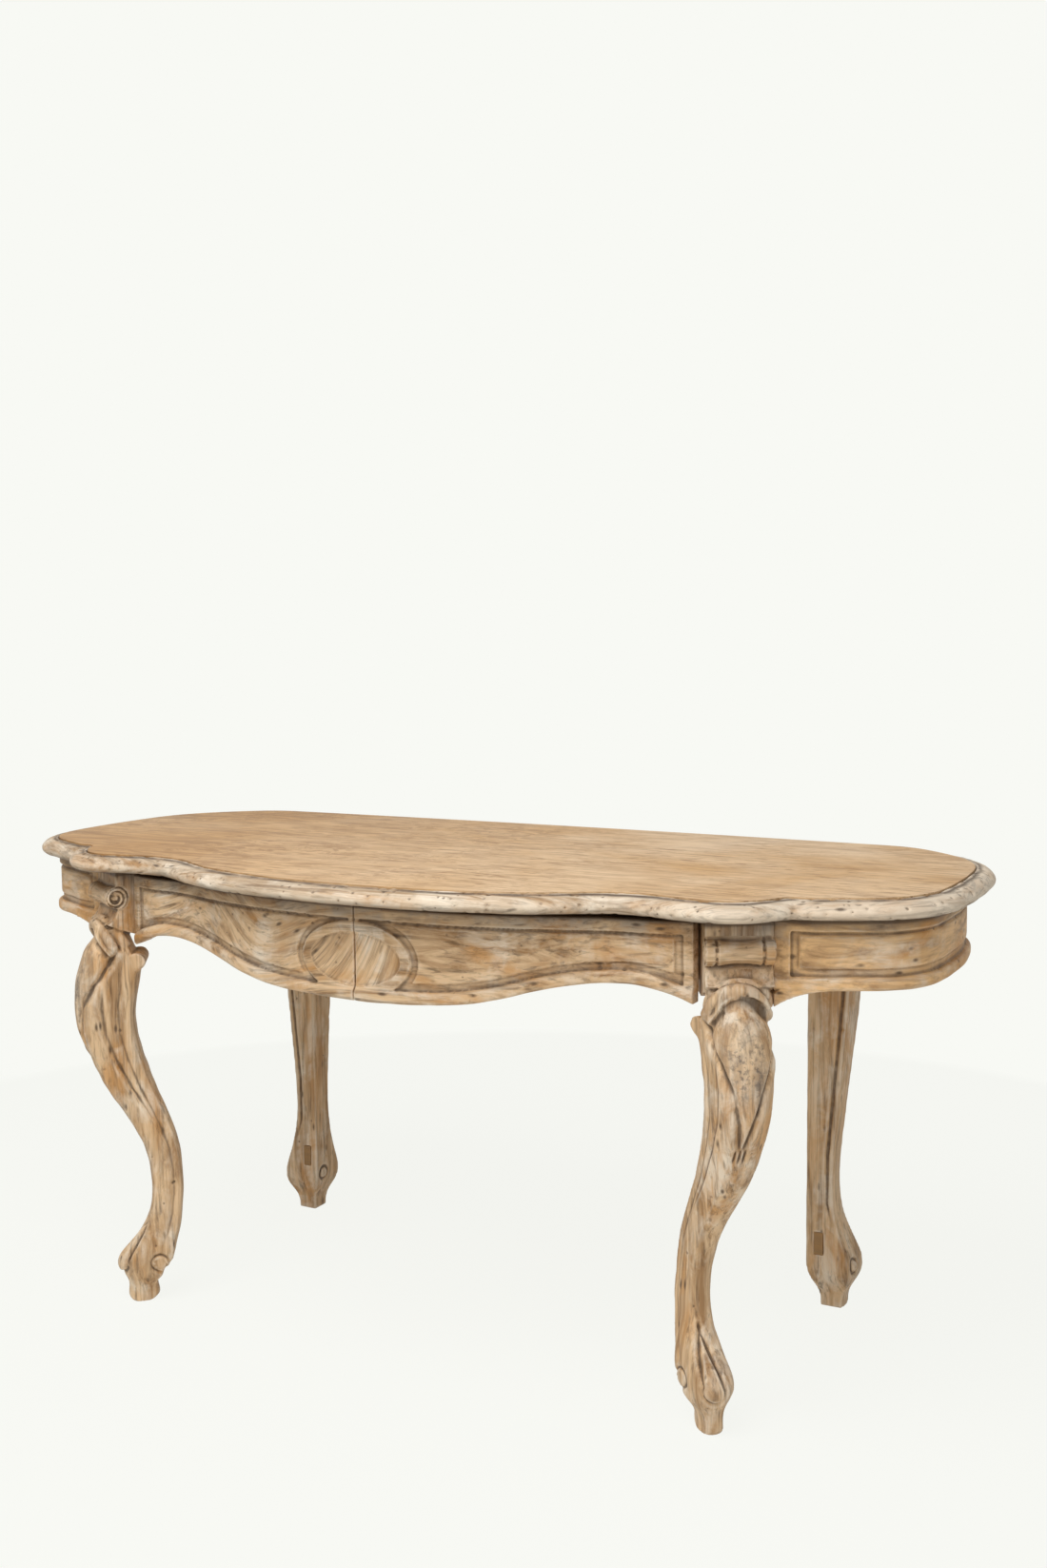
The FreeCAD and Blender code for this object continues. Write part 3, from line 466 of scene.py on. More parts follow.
def ease_joins(carving, side):
    """Runs ears, rim ends and ankle smoothly into a front leg's shaft."""
    out, across, up = turned(carving.points * (side, 1.0, 1.0), FOOT, LEG_TURN)
    ear = between(up, *EAR_HEIGHTS, soft=0.015) * smooth(out, *EAR_OUT)
    end = between(up, *RIM_END_HEIGHTS, soft=0.012) * smooth(np.abs(across - LEG_SWAY), *RIM_END_ASIDE)
    end *= smooth(out, *RIM_END_OUT)
    ankle = between(up, *ANKLE_HEIGHTS, soft=0.010)
    carving.ease(np.maximum(np.maximum(ear, end), ankle), JOIN_ROUNDS)


class LegPlaces:
    """Where each point of a front leg lies and faces, with the left leg mirrored to the right.

    Out and across are measured from the foot, forth and aside from the block. Facing and gaze are the
    normals in those two frames. Share runs from the shaft's inner to its outer side, angle round it from its
    front, and swing round it from the tongue's middle. Girth is the mean of its two half widths, and shaft is
    1 below the hood.
    """

    def __init__(self, carving, side):
        points = carving.points * (side, 1.0, 1.0)
        normals = carving.normals * (side, 1.0, 1.0)
        self.out, across, self.up = turned(points, FOOT, LEG_TURN)
        self.across = across - LEG_SWAY * smooth(self.up / KNEE_HEIGHT, *SWAY_SHARES)
        self.facing = turned(normals, (0, 0), LEG_TURN)
        self.forth, self.aside, _ = turned(points, BLOCK, BLOCK_TURN)
        self.gaze = turned(normals, (0, 0), BLOCK_TURN)
        inner, outer, half = (np.interp(self.up, LEG_SECTIONS[:, 0], LEG_SECTIONS[:, k]) for k in (1, 2, 3))
        self.reach = (outer - inner) / 2
        self.share = (self.out - inner) / (outer - inner)
        self.girth = np.sqrt(np.maximum(self.reach * half, 1e-8))
        ahead = (self.out - (inner + outer) / 2) / self.reach
        self.angle = np.degrees(np.arctan2(self.across / half, ahead))
        self.swing = self.angle + np.interp(self.up, *TONGUE_LEAN)
        under = math.sin(HOOD_TILT) * (self.forth - HOOD_PLACE[0])
        under -= math.cos(HOOD_TILT) * (self.up - HOOD_PLACE[1]) + HOOD_HALF
        self.shaft = smooth(under, 0.0, 0.004) * smooth(self.up, *SHAFT_TOP)


def hood_cut(leg, sizes):
    """The hollow under the rim of the knee's hood."""
    swing = np.abs(leg.swing)
    off = leg.up - np.interp(swing, RIM_EDGE[:, 0], RIM_EDGE[:, 1])
    knee = smooth(off, 0.0, -0.006) * smooth(swing, *RIM_SWING)
    return -knee * sizes.hood_hollow * bump(off + 0.010, 0.013)


def tongue_cut(leg, sizes):
    """The knee's raised tongue with the line and ridge along its edge, and three short cuts at its tip."""
    edge = np.interp(leg.up, TONGUE_EDGE[:, 0], TONGUE_EDGE[:, 1])
    off = np.radians(np.abs(leg.swing) - edge) * leg.girth
    relief = 0.50 * smooth(off, 0.007, -0.006)
    relief -= 0.90 * bump(off - 0.0015, sizes.line_width * 1.2)
    relief += 0.45 * bump(off - 0.0120, 0.006)
    relief *= smooth(leg.up, *TONGUE_FOOT) * leg.shaft * smooth(leg.up, *TONGUE_HEAD)
    for turn in TIP_TURNS:
        line = bump(np.radians(leg.swing + turn) * leg.girth, 0.0018)
        relief -= 0.6 * line * between(leg.up, *TIP_HEIGHTS, soft=0.010)
    return relief * sizes.line_depth


def flank_cut(leg, sizes):
    """A line along the leg's heel and one with a ridge along the middle of its flanks."""
    width = sizes.line_width
    span = 2 * leg.reach
    heel = -0.45 * bump((leg.share - HEEL_LINE) * span, width)
    middle = leg.share - np.interp(leg.up, *FLANK_LINE)
    line = 0.5 * bump((middle - FLANK_RIDGE) * span, 0.006) - 0.55 * bump(middle * span, width * 1.3)
    relief = heel * between(leg.up, *HEEL_RUN, soft=0.06) + line * between(leg.up, *FLANK_RUN, soft=0.09)
    return relief * above(np.abs(leg.facing[1]), 0.45, soft=0.3) * leg.shaft * sizes.line_depth


def teardrop_cut(leg, sizes):
    """The teardrop on the front of the toe."""
    rise = leg.up - DROP_HEIGHT
    arc = np.radians(leg.angle + DROP_TURN) * leg.girth
    taper = np.clip(1 - rise / DROP_LENGTH, 0, 1) ** 0.8
    radius = sizes.drop_radius
    off = np.where(rise > 0, np.abs(arc) - radius * taper, np.hypot(arc, rise) - radius)
    front = above(leg.facing[0], 0.15, soft=0.3) * between(leg.up, *DROP_RUN, soft=0.008)
    return front * ring(off, sizes.line_depth, sizes.line_width)


def boss_cut(leg, sizes):
    """The swelling on each side of the toe and the round boss on it."""
    sideways = np.abs(leg.facing[1])
    near = np.hypot((leg.out - SWELL_PLACE[0]) / SWELL_REACH[0], (leg.up - SWELL_PLACE[1]) / SWELL_REACH[1])
    swell = smooth(near, 1.0, 0.35) * smooth(sideways, 0.2, 0.6)
    off = np.hypot(leg.out - BOSS_PLACE[0], leg.up - BOSS_PLACE[1]) - sizes.boss_radius
    boss = ring(off, sizes.line_depth * 0.40, sizes.line_width * 0.75) * between(off, -1.0, 0.012, soft=0.004)
    boss *= above(sideways, 0.3, soft=0.3)
    return swell * np.maximum(sizes.boss_reach - np.abs(leg.across), 0.0) + boss


def scroll_cut(leg, sizes):
    """The spiral turns on the ends of the block's roll."""
    rise = leg.up - ROLL_HEIGHT
    radius = np.hypot(leg.forth, rise)
    turns = radius / sizes.volute_pitch - np.arctan2(rise, leg.forth) / (2 * math.pi)
    off = (turns - np.round(turns)) * sizes.volute_pitch
    end = above(np.abs(leg.aside), ROLL_HALF - ROLL_END, soft=0.004)
    end *= above(np.abs(leg.gaze[1]), 0.4, soft=0.3)
    return -0.65 * sizes.line_depth * end * between(radius, *VOLUTE_RADII, soft=0.003) * bump(off, 0.0019)


def leg_cut(carving, side, sizes):
    """Carves hood, tongue, edge lines, teardrop, bosses and scrolls into a front leg."""
    ease_joins(carving, side)
    leg = LegPlaces(carving, side)
    cuts = (hood_cut, tongue_cut, flank_cut, teardrop_cut, boss_cut, scroll_cut)
    carving.push(sum(cut(leg, sizes) for cut in cuts))
    bruise = between(leg.up, *BRUISE_HEIGHTS, soft=0.05) * leg.shaft
    bruise *= between(np.abs(leg.angle + BRUISE_TURN), -1.0, BRUISE_HALF_TURN, soft=36.0)
    carving.paint("bruise", bruise)


def leg_flow(points, side):
    """Grain of a front leg: upright, and along the roll on its block."""
    forth, aside, up = turned(points * (side, 1.0, 1.0), BLOCK, BLOCK_TURN)
    roll = np.hypot(forth, up - ROLL_HEIGHT) < ROLL_REACH
    return np.where(roll[:, None], np.stack((aside, forth, up), axis=1), points[:, (2, 0, 1)])


# Back legs and fronts


def back_leg_cut(carving, side, sizes):
    """Cuts a groove beside a back leg's outer front corner and bosses on both sides of its toe."""
    points = carving.points * (side, 1.0, 1.0)
    right = points[:, 0] - BACK_CORNER[0]
    deep = points[:, 1] - BACK_CORNER[1]
    up = points[:, 2]
    far = np.interp(up, *BACK_EDGE) * BACK_WIDTH
    front = smooth(carving.normals[:, 1], -0.5, -0.8)
    groove = bump(right - far + GROOVE_INSET, GROOVE_WIDTH) * between(up, *GROOVE_RUN, soft=0.06)
    cut = -0.7 * sizes.line_depth * front * groove
    off = np.hypot(deep - BACK_BOSS[0], up - BACK_BOSS[1]) - sizes.boss_radius * 0.85
    boss = ring(off, sizes.line_depth * 0.8, sizes.line_width) * between(off, -1.0, 0.010, soft=0.004)
    carving.push(cut + above(np.abs(carving.normals[:, 0]), 0.4, soft=0.3) * boss)


def rim_flow(points):
    """Grain that runs along the table's outline."""
    x, y, z = points.T
    round_way = np.arctan2(y / OUTLINE_HALF[1], x / OUTLINE_HALF[0])
    outward = np.hypot(x / OUTLINE_HALF[0], y / OUTLINE_HALF[1])
    return np.stack((round_way * OUTLINE_RADIUS, outward * OUTLINE_DEPTH, z), axis=1)


def front_flow(points):
    """Grain of the drawer fronts: along the front, across it in the oval and swirled in the left field."""
    x, y, z = points.T
    oval = np.hypot(x / OVAL_HALF[0], (z - OVAL_HEIGHT) / OVAL_HALF[1]) < 1.0
    near = np.hypot(x - SWIRL_PLACE[0], z - SWIRL_PLACE[1]) / SWIRL_REACH
    turn = np.radians(np.where(oval, OVAL_TURN + OVAL_FAN * x, SWIRL_TURN * np.exp(-near ** 2)))
    along = np.where(oval, x, x - SWIRL_PLACE[0])
    rise = np.where(oval, z - OVAL_HEIGHT, z - SWIRL_PLACE[1])
    return np.stack((np.cos(turn) * along + np.sin(turn) * rise,
                     np.cos(turn) * rise - np.sin(turn) * along, y), axis=1)


# Materials


class Shades:
    """Builds the nodes of a material or of the world in short steps."""

    def __init__(self, owner):
        owner.use_nodes = True
        self.owner = owner
        self.tree = owner.node_tree
        self.tree.nodes.clear()

    def node(self, kind, inputs=(), **settings):
        """A node with its settings and inputs: sockets are linked, numbers are set."""
        new = self.tree.nodes.new(kind)
        for name, value in settings.items():
            setattr(new, name, value)
        for name, value in dict(inputs).items():
            if isinstance(value, bpy.types.NodeSocket):
                self.tree.links.new(value, new.inputs[name])
            else:
                new.inputs[name].default_value = value
        return new

    def painted(self, name, output="Fac"):
        """A value that the carving keeps for each point of the piece, 0 where it keeps none."""
        return self.node("ShaderNodeAttribute", attribute_name=name).outputs[output]

    def place(self):
        """The point's place along the object's axes."""
        return self.node("ShaderNodeTexCoord").outputs["Object"]

    def axis(self, place, name):
        """One coordinate of a place."""
        return self.node("ShaderNodeSeparateXYZ", {"Vector": place}).outputs[name]

    def drawn_out(self, place, along, across, turn=(0.0, 0.0, 0.0)):
        """A place scaled along its first axis and across it, and turned after that."""
        new = self.node("ShaderNodeMapping", {"Vector": place, "Scale": (along, across, across),
                                              "Rotation": turn})
        return new.outputs["Vector"]

    def noise(self, place, scale, detail, roughness, distortion=0.0):
        """Noise between 0 and 1."""
        new = self.node("ShaderNodeTexNoise", {"Vector": place, "Scale": scale, "Detail": detail,
                                               "Roughness": roughness, "Distortion": distortion})
        return new.outputs[0]

    def streaks(self, place, along, across, detail, roughness, distortion=0.0, turn=(0.0, 0.0, 0.0)):
        """Noise in streaks along the first axis: its scale along them and across them comes first."""
        return self.noise(self.drawn_out(place, along, across, turn), 1.0, detail, roughness, distortion)

    def pits(self, place, size):
        """Scattered pits of a size between 0 and 1."""
        new = self.node("ShaderNodeTexVoronoi", {"Vector": place, "Scale": 1.0, "Randomness": 1.0})
        return self.fade(new.outputs["Distance"], size, size * 0.35)

    def fade(self, value, low, high):
        """Value stretched so that low becomes 0 and high becomes 1, and kept between them."""
        new = self.node("ShaderNodeMapRange", {"Value": value, "From Min": low, "From Max": high})
        return new.outputs["Result"]

    def joined(self, kind, one, two):
        """Two values put together by a math operation."""
        return self.node("ShaderNodeMath", {0: one, 1: two}, operation=kind).outputs[0]

    def times(self, first, *others):
        """Shares multiplied with each other."""
        for other in others:
            first = self.joined("MULTIPLY", first, other)
        return first

    def over(self, shade, colour_on_top, *shares):
        """A colour laid over a shade by the product of one or more shares."""
        new = self.node("ShaderNodeMix", {0: self.times(*shares), 6: shade, 7: colour_on_top},
                        data_type="RGBA", blend_type="MIX")
        return new.outputs[2]

    def end(self, shader, kind="ShaderNodeOutputMaterial"):
        """Leads a shader to the output."""
        self.node(kind, {"Surface": shader.outputs[0]})
        return self.owner

    def surface(self, shade, roughness, relief, strength, distance):
        """Ends the material in a wood surface."""
        bumped = self.node("ShaderNodeBump", {"Height": relief, "Strength": strength, "Distance": distance})
        wood = self.node("ShaderNodeBsdfPrincipled", {"Base Color": shade, "Roughness": roughness,
                                                      "Normal": bumped.outputs["Normal"],
                                                      "Specular IOR Level": WOOD_GLOSS})
        return self.end(wood)


def rgba(value):
    """A colour setting with full opacity."""
    return (value[0], value[1], value[2], 1.0)


def carved_wood(name, tones, ground, warm, bloom, grained, clean, dirty):
    """Stripped and bleached wood with amber patches, dirt and painted shade in carved lines, pale worn edges.

    Bloom and grained are shares of bleach and of dark grain. Painted shade also darkens wide hollows, and it
    grows under the top from the first height to the second.
    """
    s = Shades(bpy.data.materials.new(name))
    pale, dark, grey = rgba(tones.bleach), rgba(tones.crevice), rgba(tones.bruise)
    place = s.place()
    flow = s.painted("flow", "Vector")
    cloud = s.noise(place, 12.0, 5.0, 0.65, 0.6)
    streak = s.streaks(flow, 3.0, 36.0, 5.0, 0.65, 1.3)
    patch = s.streaks(flow, 4.0, 13.0, 4.0, 0.6, 1.2)
    grain = s.streaks(flow, 7.0, 150.0, 5.0, 0.65, 0.7)
    wash = s.streaks(flow, 6.0, 60.0, 4.0, 0.6, 0.6)

    # Ground, amber patches, bleach and grain
    shade = s.over(rgba(ground), rgba(warm), s.fade(streak, 0.42, 0.64))
    shade = s.over(shade, rgba(tones.amber), s.fade(patch, 0.51, 0.64), 1.45 - bloom)
    shade = s.over(shade, pale, s.fade(cloud, 0.46, 0.64), s.fade(wash, 0.36, 0.58), bloom)
    # The lip grows paler towards its right end
    shade = s.over(shade, pale, s.painted("paler_end"), s.fade(wash, 0.25, 0.50), 0.60)
    shade = s.over(shade, s.over(shade, dark, grained), s.fade(grain, 0.50, 0.68))

    # Worn edges, painted shade in wide hollows, dirt and painted shade in carved lines, the moulding's joint
    crevice = s.painted("crevice")
    shade = s.over(shade, pale, s.fade(crevice, -0.15, -0.75), s.fade(wash, 0.30, 0.60), 0.55)
    # Painted shade, darker in the wide hollows
    shade = s.over(shade, s.over(shade, dark, 0.62), s.fade(s.painted("hollow"), 0.4, 3.4), 0.62)
    ragged = s.times(s.fade(s.noise(place, 75.0, 4.0, 0.6), 0.30, 0.70), 0.35)
    # Carved lines darkened by dirt in them and by painted shade
    shade = s.over(shade, dark, s.fade(crevice, 0.10, 0.65), s.joined("ADD", ragged, 0.65), 0.86)
    shade = s.over(shade, dark, s.painted("joint"), s.fade(cloud, 0.32, 0.50), 0.88)

    # Painted shade under the top: a cloudy darkening that grows towards it and a darker band close to it
    height = s.axis(place, "Z")
    under_top_shade = s.times(s.fade(height, clean, dirty), s.fade(cloud, 0.30, 0.62))
    edge = s.fade(height, 0.65 * dirty + 0.35 * clean, 0.88 * dirty + 0.12 * clean)
    shade = s.over(shade, dark, s.joined("MAXIMUM", under_top_shade, edge), 0.90)

    # Bruised knees and pits
    bruise = s.painted("bruise")
    smear = s.fade(s.noise(place, 34.0, 4.0, 0.6, 0.5), 0.44, 0.62)
    spots = s.fade(s.noise(place, 125.0, 4.0, 0.7), 0.50, 0.60)
    shade = s.over(shade, pale, bruise, 0.22)
    shade = s.over(shade, grey, bruise, smear, 0.42)
    shade = s.over(shade, grey, bruise, spots, 0.75)
    where = s.fade(s.noise(place, 16.0, 3.0, 0.5), 0.45, 0.55)
    pit = s.times(s.pits(s.drawn_out(flow, 22.0, 64.0), 0.22), where)
    shade = s.over(shade, dark, pit, 0.82)
    relief = s.joined("SUBTRACT", s.times(grain, -0.5), pit)
    return s.surface(shade, s.joined("ADD", s.fade(cloud, -0.2, 1.6), 0.20), relief, 0.6, 0.0012)


def field_wood(name, tones, turn):
    """Golden veneer with long grain and dark pores, orange on the left and pale on the right.

    The turn gives each sheet its own stretch of the same figure.
    """
    s = Shades(bpy.data.materials.new(name))
    middle, dark = rgba(tones.field_mid), rgba(tones.field_dark)
    place = s.place()
    sheet = (0.0, 0.0, turn)
    cloud = s.noise(place, 3.4, 5.0, 0.6, 0.8)
    figure = s.streaks(place, 2.6, 13.0, 6.0, 0.66, 2.6, turn=sheet)
    band = s.streaks(place, 4.5, 42.0, 5.0, 0.65, 1.4, turn=sheet)
    line = s.streaks(place, 9.0, 150.0, 4.0, 0.6, 0.5, turn=sheet)
    pore = s.streaks(place, 30.0, 190.0, 2.0, 0.5, turn=sheet)
    mottle = s.streaks(place, 17.0, 30.0, 5.0, 0.7, 1.6, turn=(0.0, 0.0, 0.6 + turn))

    # Ground from left to right
    across = s.axis(place, "X")
    right = s.fade(s.joined("ADD", across, s.times(cloud, 0.5)), -0.25, 0.55)
    tone = s.fade(cloud, 0.40, 0.64)
    orange = s.over(middle, rgba(tones.field_deep), tone)
    golden = s.over(rgba(tones.field_light), middle, tone)
    bloom = s.fade(s.noise(place, 2.3, 4.0, 0.6, 0.4), 0.38, 0.62)
    shade = s.over(orange, s.over(golden, rgba(tones.field_bloom), bloom, 0.85), right)

    # Figure, grain and pores
    strong = s.times(s.fade(across, 0.30, -0.45), 0.50)
    spread = s.fade(s.noise(place, 4.5, 3.0, 0.5), 0.42, 0.60)
    shade = s.over(shade, dark, s.fade(mottle, 0.51, 0.57), spread, s.joined("ADD", strong, 0.22))
    shade = s.over(shade, dark, s.fade(figure, 0.47, 0.64), s.joined("ADD", strong, 0.25))
    shade = s.over(shade, dark, s.fade(band, 0.50, 0.68), 0.45)
    shade = s.over(shade, dark, s.fade(line, 0.50, 0.66), 0.50)
    holes = s.times(s.fade(pore, 0.56, 0.66), s.fade(s.noise(place, 7.0, 3.0, 0.5), 0.36, 0.58))
    shade = s.over(shade, dark, holes, 0.80)
    relief = s.joined("SUBTRACT", s.times(line, -0.4), holes)
    return s.surface(shade, s.fade(cloud, -0.7, 1.5), relief, 0.45, 0.0008)


def plain_wood(name, light, dark, turn=(0.0, 0.0, 0.0)):
    """Sawn inner wood with straight grain along the table, of which the turn takes another stretch."""
    s = Shades(bpy.data.materials.new(name))
    place = s.place()
    grain = s.streaks(place, 6.0, 95.0, 5.0, 0.6, 0.8, turn=turn)
    cloud = s.noise(place, 8.0, 3.0, 0.5, 0.4)
    shade = s.over(rgba(light), rgba(dark), s.fade(grain, 0.40, 0.68))
    shade = s.over(shade, rgba(dark), s.fade(cloud, 0.4, 0.7), 0.35)
    return s.surface(shade, s.fade(cloud, -1.2, 1.2), s.times(grain, -1.0), 0.4, 0.0008)


def seen_directly(s):
    """1 for rays from the camera, reflections and glass, 0 for the light that falls on things."""
    rays = s.node("ShaderNodeLightPath").outputs
    shown = s.joined("MAXIMUM", rays["Is Camera Ray"], rays["Is Glossy Ray"])
    return s.joined("MAXIMUM", shown, rays["Is Transmission Ray"])


def floor_paint(ground):
    """Pale floor that keeps a faint shadow and runs into the background."""
    s = Shades(bpy.data.materials.new("floor_paint"))
    far = s.node("ShaderNodeVectorMath", {0: s.place()}, operation="LENGTH").outputs["Value"]
    plain = s.joined("MAXIMUM", s.fade(far, *SHADOW_FADE), SHADOW_FREE)
    matt = s.node("ShaderNodeBsdfDiffuse", {"Color": rgba(ground)})
    glow = s.node("ShaderNodeEmission", {"Color": rgba(ground), "Strength": 1.0})
    share = s.times(plain, seen_directly(s))
    return s.end(s.node("ShaderNodeMixShader", {0: share, 1: matt.outputs[0], 2: glow.outputs[0]}))


def studio_light(world, ground, strength):
    """Even light from all round, with the plain ground as the background that is seen."""
    s = Shades(world)
    shown = s.node("ShaderNodeBackground", {"Color": rgba(ground), "Strength": 1.0})
    light = s.node("ShaderNodeBackground", {"Color": (1.0, 1.0, 1.0, 1.0), "Strength": strength})
    mixed = s.node("ShaderNodeMixShader", {0: seen_directly(s), 1: light.outputs[0], 2: shown.outputs[0]})
    return s.end(mixed, "ShaderNodeOutputWorld")


def made(name, maker, *values, **settings):
    """The named material, built when it is first asked for."""
    found = bpy.data.materials.get(name)
    return found if found else maker(name, *values, **settings)


def carved_finish(tones):
    """The carved wood of legs and drawer fronts."""
    return made("stripped_carving", carved_wood, tones, ground=tones.carved_light, warm=tones.carved_warm,
                bloom=0.80, grained=0.60, clean=0.694, dirty=0.726)


def lip_finish(tones):
    """The bleached wood of the top's moulding."""
    return made("bleached_moulding", carved_wood, tones, ground=tones.lip_light, warm=tones.lip_warm,
                bloom=1.00, grained=0.50, clean=0.741, dirty=0.732)


def apron_finish(tones):
    """The warmer and smoother wood of the end aprons."""
    return made("amber_apron", carved_wood, tones, ground=tones.apron_light, warm=tones.carved_warm,
                bloom=0.55, grained=0.26, clean=0.694, dirty=0.730)


def inner_finish(tones, name, turn=(0.0, 0.0, 0.0)):
    """One of the plain inner woods."""
    return made("inner_wood_" + name, plain_wood, tones.inner_light, tones.inner_dark, turn)


def dress(material, *nodes):
    """Gives CAD nodes a material."""
    for node in nodes:
        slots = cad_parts[node].data.materials
        slots.clear()
        slots.append(material)


# Stage


def lay_floor(scene, stage):
    """The wide pale floor."""
    plane = bmesh.new()
    bmesh.ops.create_grid(plane, x_segments=1, y_segments=1, size=FLOOR_HALF)
    mesh = bpy.data.meshes.new("floor")
    plane.to_mesh(mesh)
    plane.free()
    floor = bpy.data.objects.new("floor", mesh)
    scene.collection.objects.link(floor)
    mesh.materials.append(floor_paint(stage.ground))


def hang_lamp(scene, name, power, width, place, target):
    """A broad square lamp that faces a target."""
    data = bpy.data.lights.new(name, "AREA")
    data.energy = power
    data.size = width
    lamp = bpy.data.objects.new(name, data)
    scene.collection.objects.link(lamp)
    way = Vector(target) - Vector(place)
    lamp.matrix_world = Matrix.Translation(place) @ way.to_track_quat("-Z", "Y").to_matrix().to_4x4()


def set_camera(scene, stage):
    """The camera at the photograph's viewing angle."""
    camera = bpy.data.objects.new("camera", bpy.data.cameras.new("camera"))
    scene.collection.objects.link(camera)
    camera.data.lens = stage.lens
    camera.data.sensor_width = FILM_WIDTH
    camera.data.clip_end = FAR_LIMIT
    turn = Matrix.Rotation(stage.camera_yaw, 4, "Z")
    turn @= Matrix.Rotation(math.pi / 2 - stage.camera_pitch, 4, "X")
    turn @= Matrix.Rotation(stage.camera_roll, 4, "Z")
    camera.matrix_world = Matrix.Translation(stage.camera_place) @ turn
    scene.camera = camera


# Operators


class TABLE_OT_field(Operator):
    """Finishes the two veneer sheets and the boards under them"""
    bl_idname = "table.field"
    bl_label = "Finish Field"

    def execute(self, context):
        tones = context.scene.table_finish
        dress(field_wood("left_field", tones, turn=0.10), "left_veneer")
        dress(field_wood("right_field", tones, turn=-0.06), "right_veneer")
        dress(inner_finish(tones, "long"), "core_front_board", "core_middle_board", "core_rear_board")
        return {"FINISHED"}


class TABLE_OT_lips(Operator):
    """Wears and bleaches the moulding round the top"""
    bl_idname = "table.lips"
    bl_label = "Carve Lips"

    def execute(self, context):
        sizes = context.scene.table_carving
        wood = lip_finish(context.scene.table_finish)
        for seed, nodes in enumerate((("front_lip", "left_lip", "right_lip"), ("rear_lip",))):
            lip = Carving(sizes.lip_grid, *nodes)
            lip.weather(wave=0.09, height=0.0005, loss=0.0004, seed=seed)
            lip.dent(sizes.dents, radius=0.0032, depth=0.0020, seed=seed)
            lip.paint("joint", between(lip.points[:, 2], *JOINT_HEIGHTS, soft=0.001))
            lip.paint("paler_end", smooth(lip.points[:, 0], *PALER_END_FROM))
            lip.finish(wood, "frame", rim_flow(lip.points))
        return {"FINISHED"}


class TABLE_OT_front_legs(Operator):
    """Carves the cabriole front legs with their scrolls and feet"""
    bl_idname = "table.front_legs"
    bl_label = "Carve Front Legs"

    def execute(self, context):
        sizes = context.scene.table_carving
        wood = carved_finish(context.scene.table_finish)
        for side, node in ((-1.0, "left_front_leg"), (1.0, "right_front_leg")):
            leg = Carving(sizes.leg_grid, node, added=hood_rim(side, sizes))
            leg_cut(leg, side, sizes)
            leg.weather(wave=0.07, height=0.0004, loss=0.0003, seed=21)
            leg.dent(40, DENT_RADIUS, depth=0.0012, seed=22)
            leg.finish(wood, "frame", leg_flow(leg.points, side))
        return {"FINISHED"}


class TABLE_OT_back_legs(Operator):
    """Wears the plain back legs"""
    bl_idname = "table.back_legs"
    bl_label = "Carve Back Legs"

    def execute(self, context):
        tones, sizes = context.scene.table_finish, context.scene.table_carving
        wood = carved_finish(tones)
        patch = made("let_in_patch", plain_wood, tones.patch, tones.inner_dark, turn=(0.0, math.pi / 2, 0.0))
        for sign, side in ((-1.0, "left"), (1.0, "right")):
            leg = Carving(sizes.leg_grid * BACK_GRID_SHARE, side + "_back_leg")
            back_leg_cut(leg, sign, sizes)
            leg.weather(wave=0.08, height=0.0003, loss=0.0002, seed=31)
            leg.dent(30, DENT_RADIUS, depth=0.0012, seed=32)
            leg.finish(wood, "frame", leg.points[:, (2, 0, 1)])
            dress(patch, side + "_patch")
        return {"FINISHED"}


class TABLE_OT_end_aprons(Operator):
    """Wears the end aprons"""
    bl_idname = "table.end_aprons"
    bl_label = "Carve End Aprons"

    def execute(self, context):
        sizes = context.scene.table_carving
        wood = apron_finish(context.scene.table_finish)
        for side in ("left", "right"):
            apron = Carving(sizes.front_grid, side + "_end_apron")
            apron.weather(wave=0.08, height=0.0003, loss=0.0002, seed=41)
            apron.dent(30, DENT_RADIUS, depth=0.0011, seed=42)
            apron.finish(wood, "frame", rim_flow(apron.points))
        return {"FINISHED"}


class TABLE_OT_drawer_fronts(Operator):
    """Wears the drawer fronts with their shared oval"""
    bl_idname = "table.drawer_fronts"
    bl_label = "Carve Drawer Fronts"

    def execute(self, context):
        sizes = context.scene.table_carving
        wood = carved_finish(context.scene.table_finish)
        for seed, side in enumerate(("left", "right")):
            front = Carving(sizes.front_grid, side + "_drawer_front")
            front.weather(wave=0.08, height=0.0003, loss=0.0002, seed=51)
            front.dent(40, DENT_RADIUS, depth=0.0012, seed=52 + seed)
            front.finish(wood, side + "_drawer", front_flow(front.points))
        return {"FINISHED"}


class TABLE_OT_inner_wood(Operator):
    """Finishes the hidden frame and the drawer boxes"""
    bl_idname = "table.inner_wood"
    bl_label = "Finish Inner Wood"

    def execute(self, context):
        tones = context.scene.table_finish
        long = inner_finish(tones, "long")
        deep = inner_finish(tones, "deep", turn=(0.0, 0.0, math.pi / 2))
        tall = inner_finish(tones, "tall", turn=(0.0, math.pi / 2, 0.0))
        # The front rail is near black: painted shade in the drawers' gaps
        dress(made("dirty_rail", plain_wood, tones.rail, tones.crevice), "front_rail")
        dress(long, "rear_apron", "drawer_stops", "left_drawer_back", "right_drawer_back")
        dress(tall, "centre_muntin")
        for name in ("runner", "guide", "kicker"):
            dress(deep, "left_" + name, "centre_" + name, "right_" + name)
        for name in ("inner_side", "outer_side", "bottom"):
            dress(deep, "left_drawer_" + name, "right_drawer_" + name)
        return {"FINISHED"}


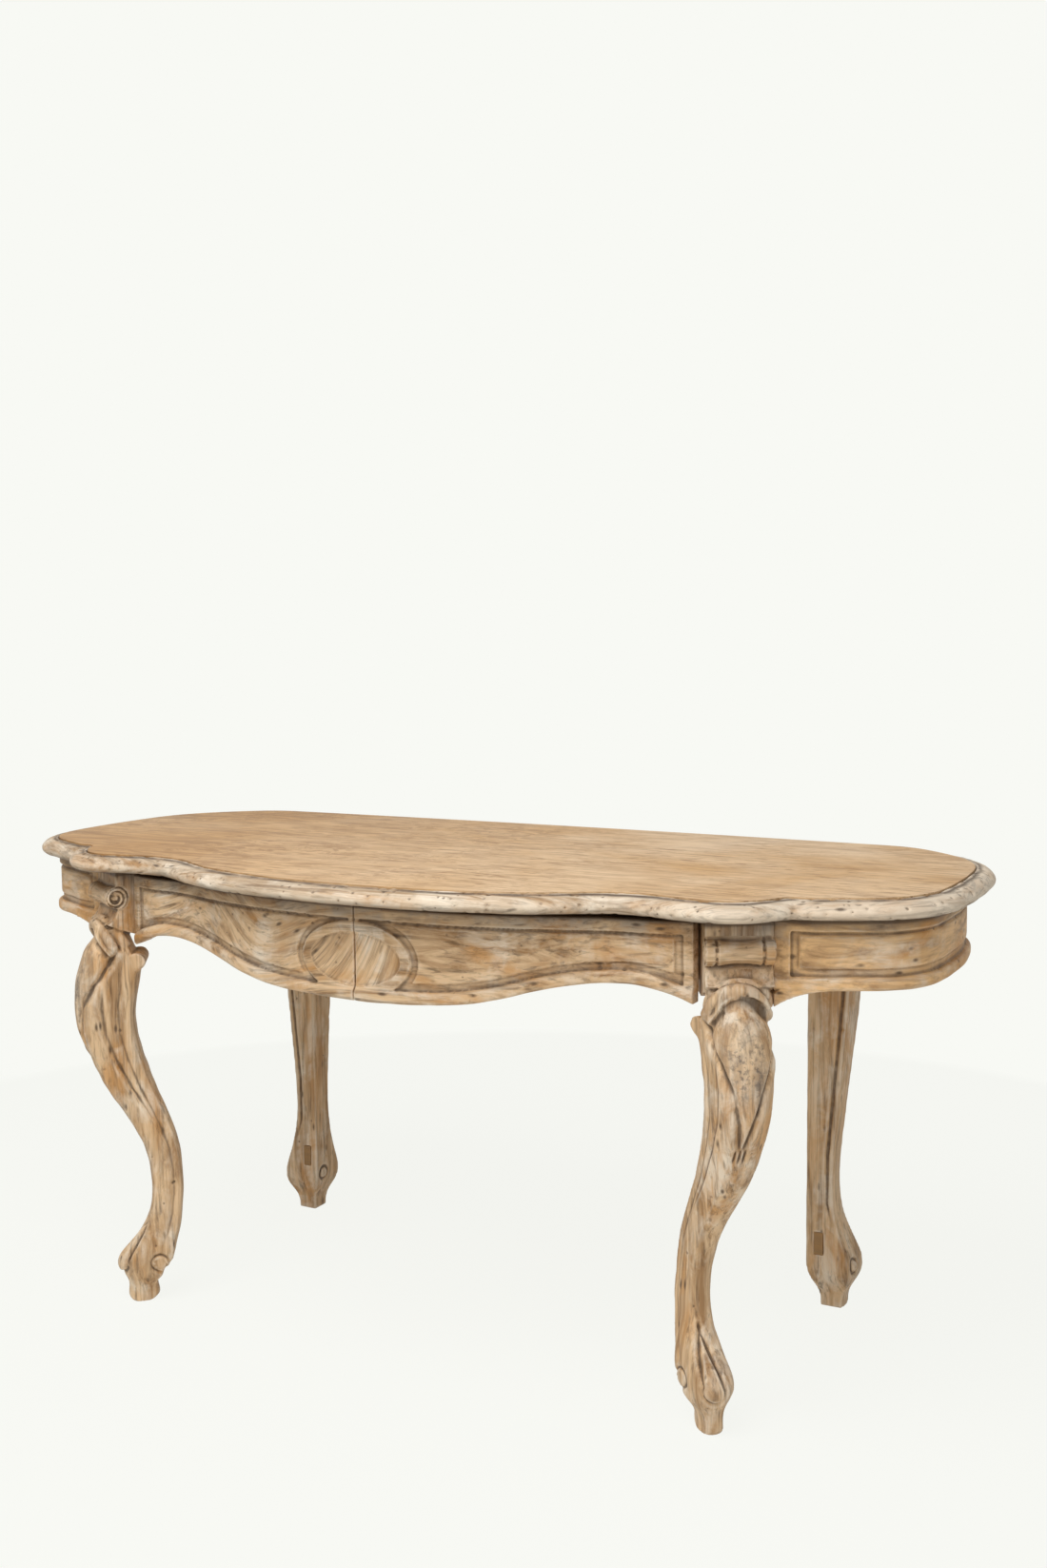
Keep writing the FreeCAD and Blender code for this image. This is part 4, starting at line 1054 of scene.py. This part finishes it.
class TABLE_OT_stage(Operator):
    """Adds the floor, the soft light and the camera"""
    bl_idname = "table.stage"
    bl_label = "Set Stage"

    def execute(self, context):
        scene = context.scene
        stage = scene.table_stage
        lay_floor(scene, stage)
        hang_lamp(scene, "key", stage.key_power, *KEY_LAMP)
        hang_lamp(scene, "fill", stage.fill_power, *FILL_LAMP)
        scene.world = studio_light(bpy.data.worlds.new("studio"), stage.ground, stage.sky)
        set_camera(scene, stage)
        scene.view_settings.view_transform = "Standard"
        return {"FINISHED"}


class TABLE_PT_panel(Panel):
    """Lists the steps that dress the table"""
    bl_label = "Side Table"
    bl_idname = "TABLE_PT_panel"
    bl_space_type = "VIEW_3D"
    bl_region_type = "UI"
    bl_category = "Side Table"

    def draw(self, context):
        for step in STEPS:
            self.layout.operator(step.bl_idname)
        for group in ("table_finish", "table_carving", "table_stage"):
            settings = getattr(context.scene, group)
            for name in settings.__annotations__:
                self.layout.prop(settings, name)


STEPS = (TABLE_OT_field, TABLE_OT_lips, TABLE_OT_front_legs, TABLE_OT_back_legs, TABLE_OT_end_aprons,
         TABLE_OT_drawer_fronts, TABLE_OT_inner_wood, TABLE_OT_stage)
GROUPS = (TableFinish, TableCarving, TableStage)


def register():
    """Adds the classes and the settings to Blender."""
    for item in GROUPS + STEPS + (TABLE_PT_panel,):
        bpy.utils.register_class(item)
    bpy.types.Scene.table_finish = PointerProperty(type=TableFinish)
    bpy.types.Scene.table_carving = PointerProperty(type=TableCarving)
    bpy.types.Scene.table_stage = PointerProperty(type=TableStage)


def unregister():
    """Takes the settings and the classes out again."""
    del bpy.types.Scene.table_finish
    del bpy.types.Scene.table_carving
    del bpy.types.Scene.table_stage
    for item in reversed(GROUPS + STEPS + (TABLE_PT_panel,)):
        bpy.utils.unregister_class(item)


def main():
    """Dresses the table step by step."""
    register()
    bpy.ops.table.field()
    bpy.ops.table.lips()
    bpy.ops.table.front_legs()
    bpy.ops.table.back_legs()
    bpy.ops.table.end_aprons()
    bpy.ops.table.drawer_fronts()
    bpy.ops.table.inner_wood()
    bpy.ops.table.stage()


if __name__ == "__main__":
    main()
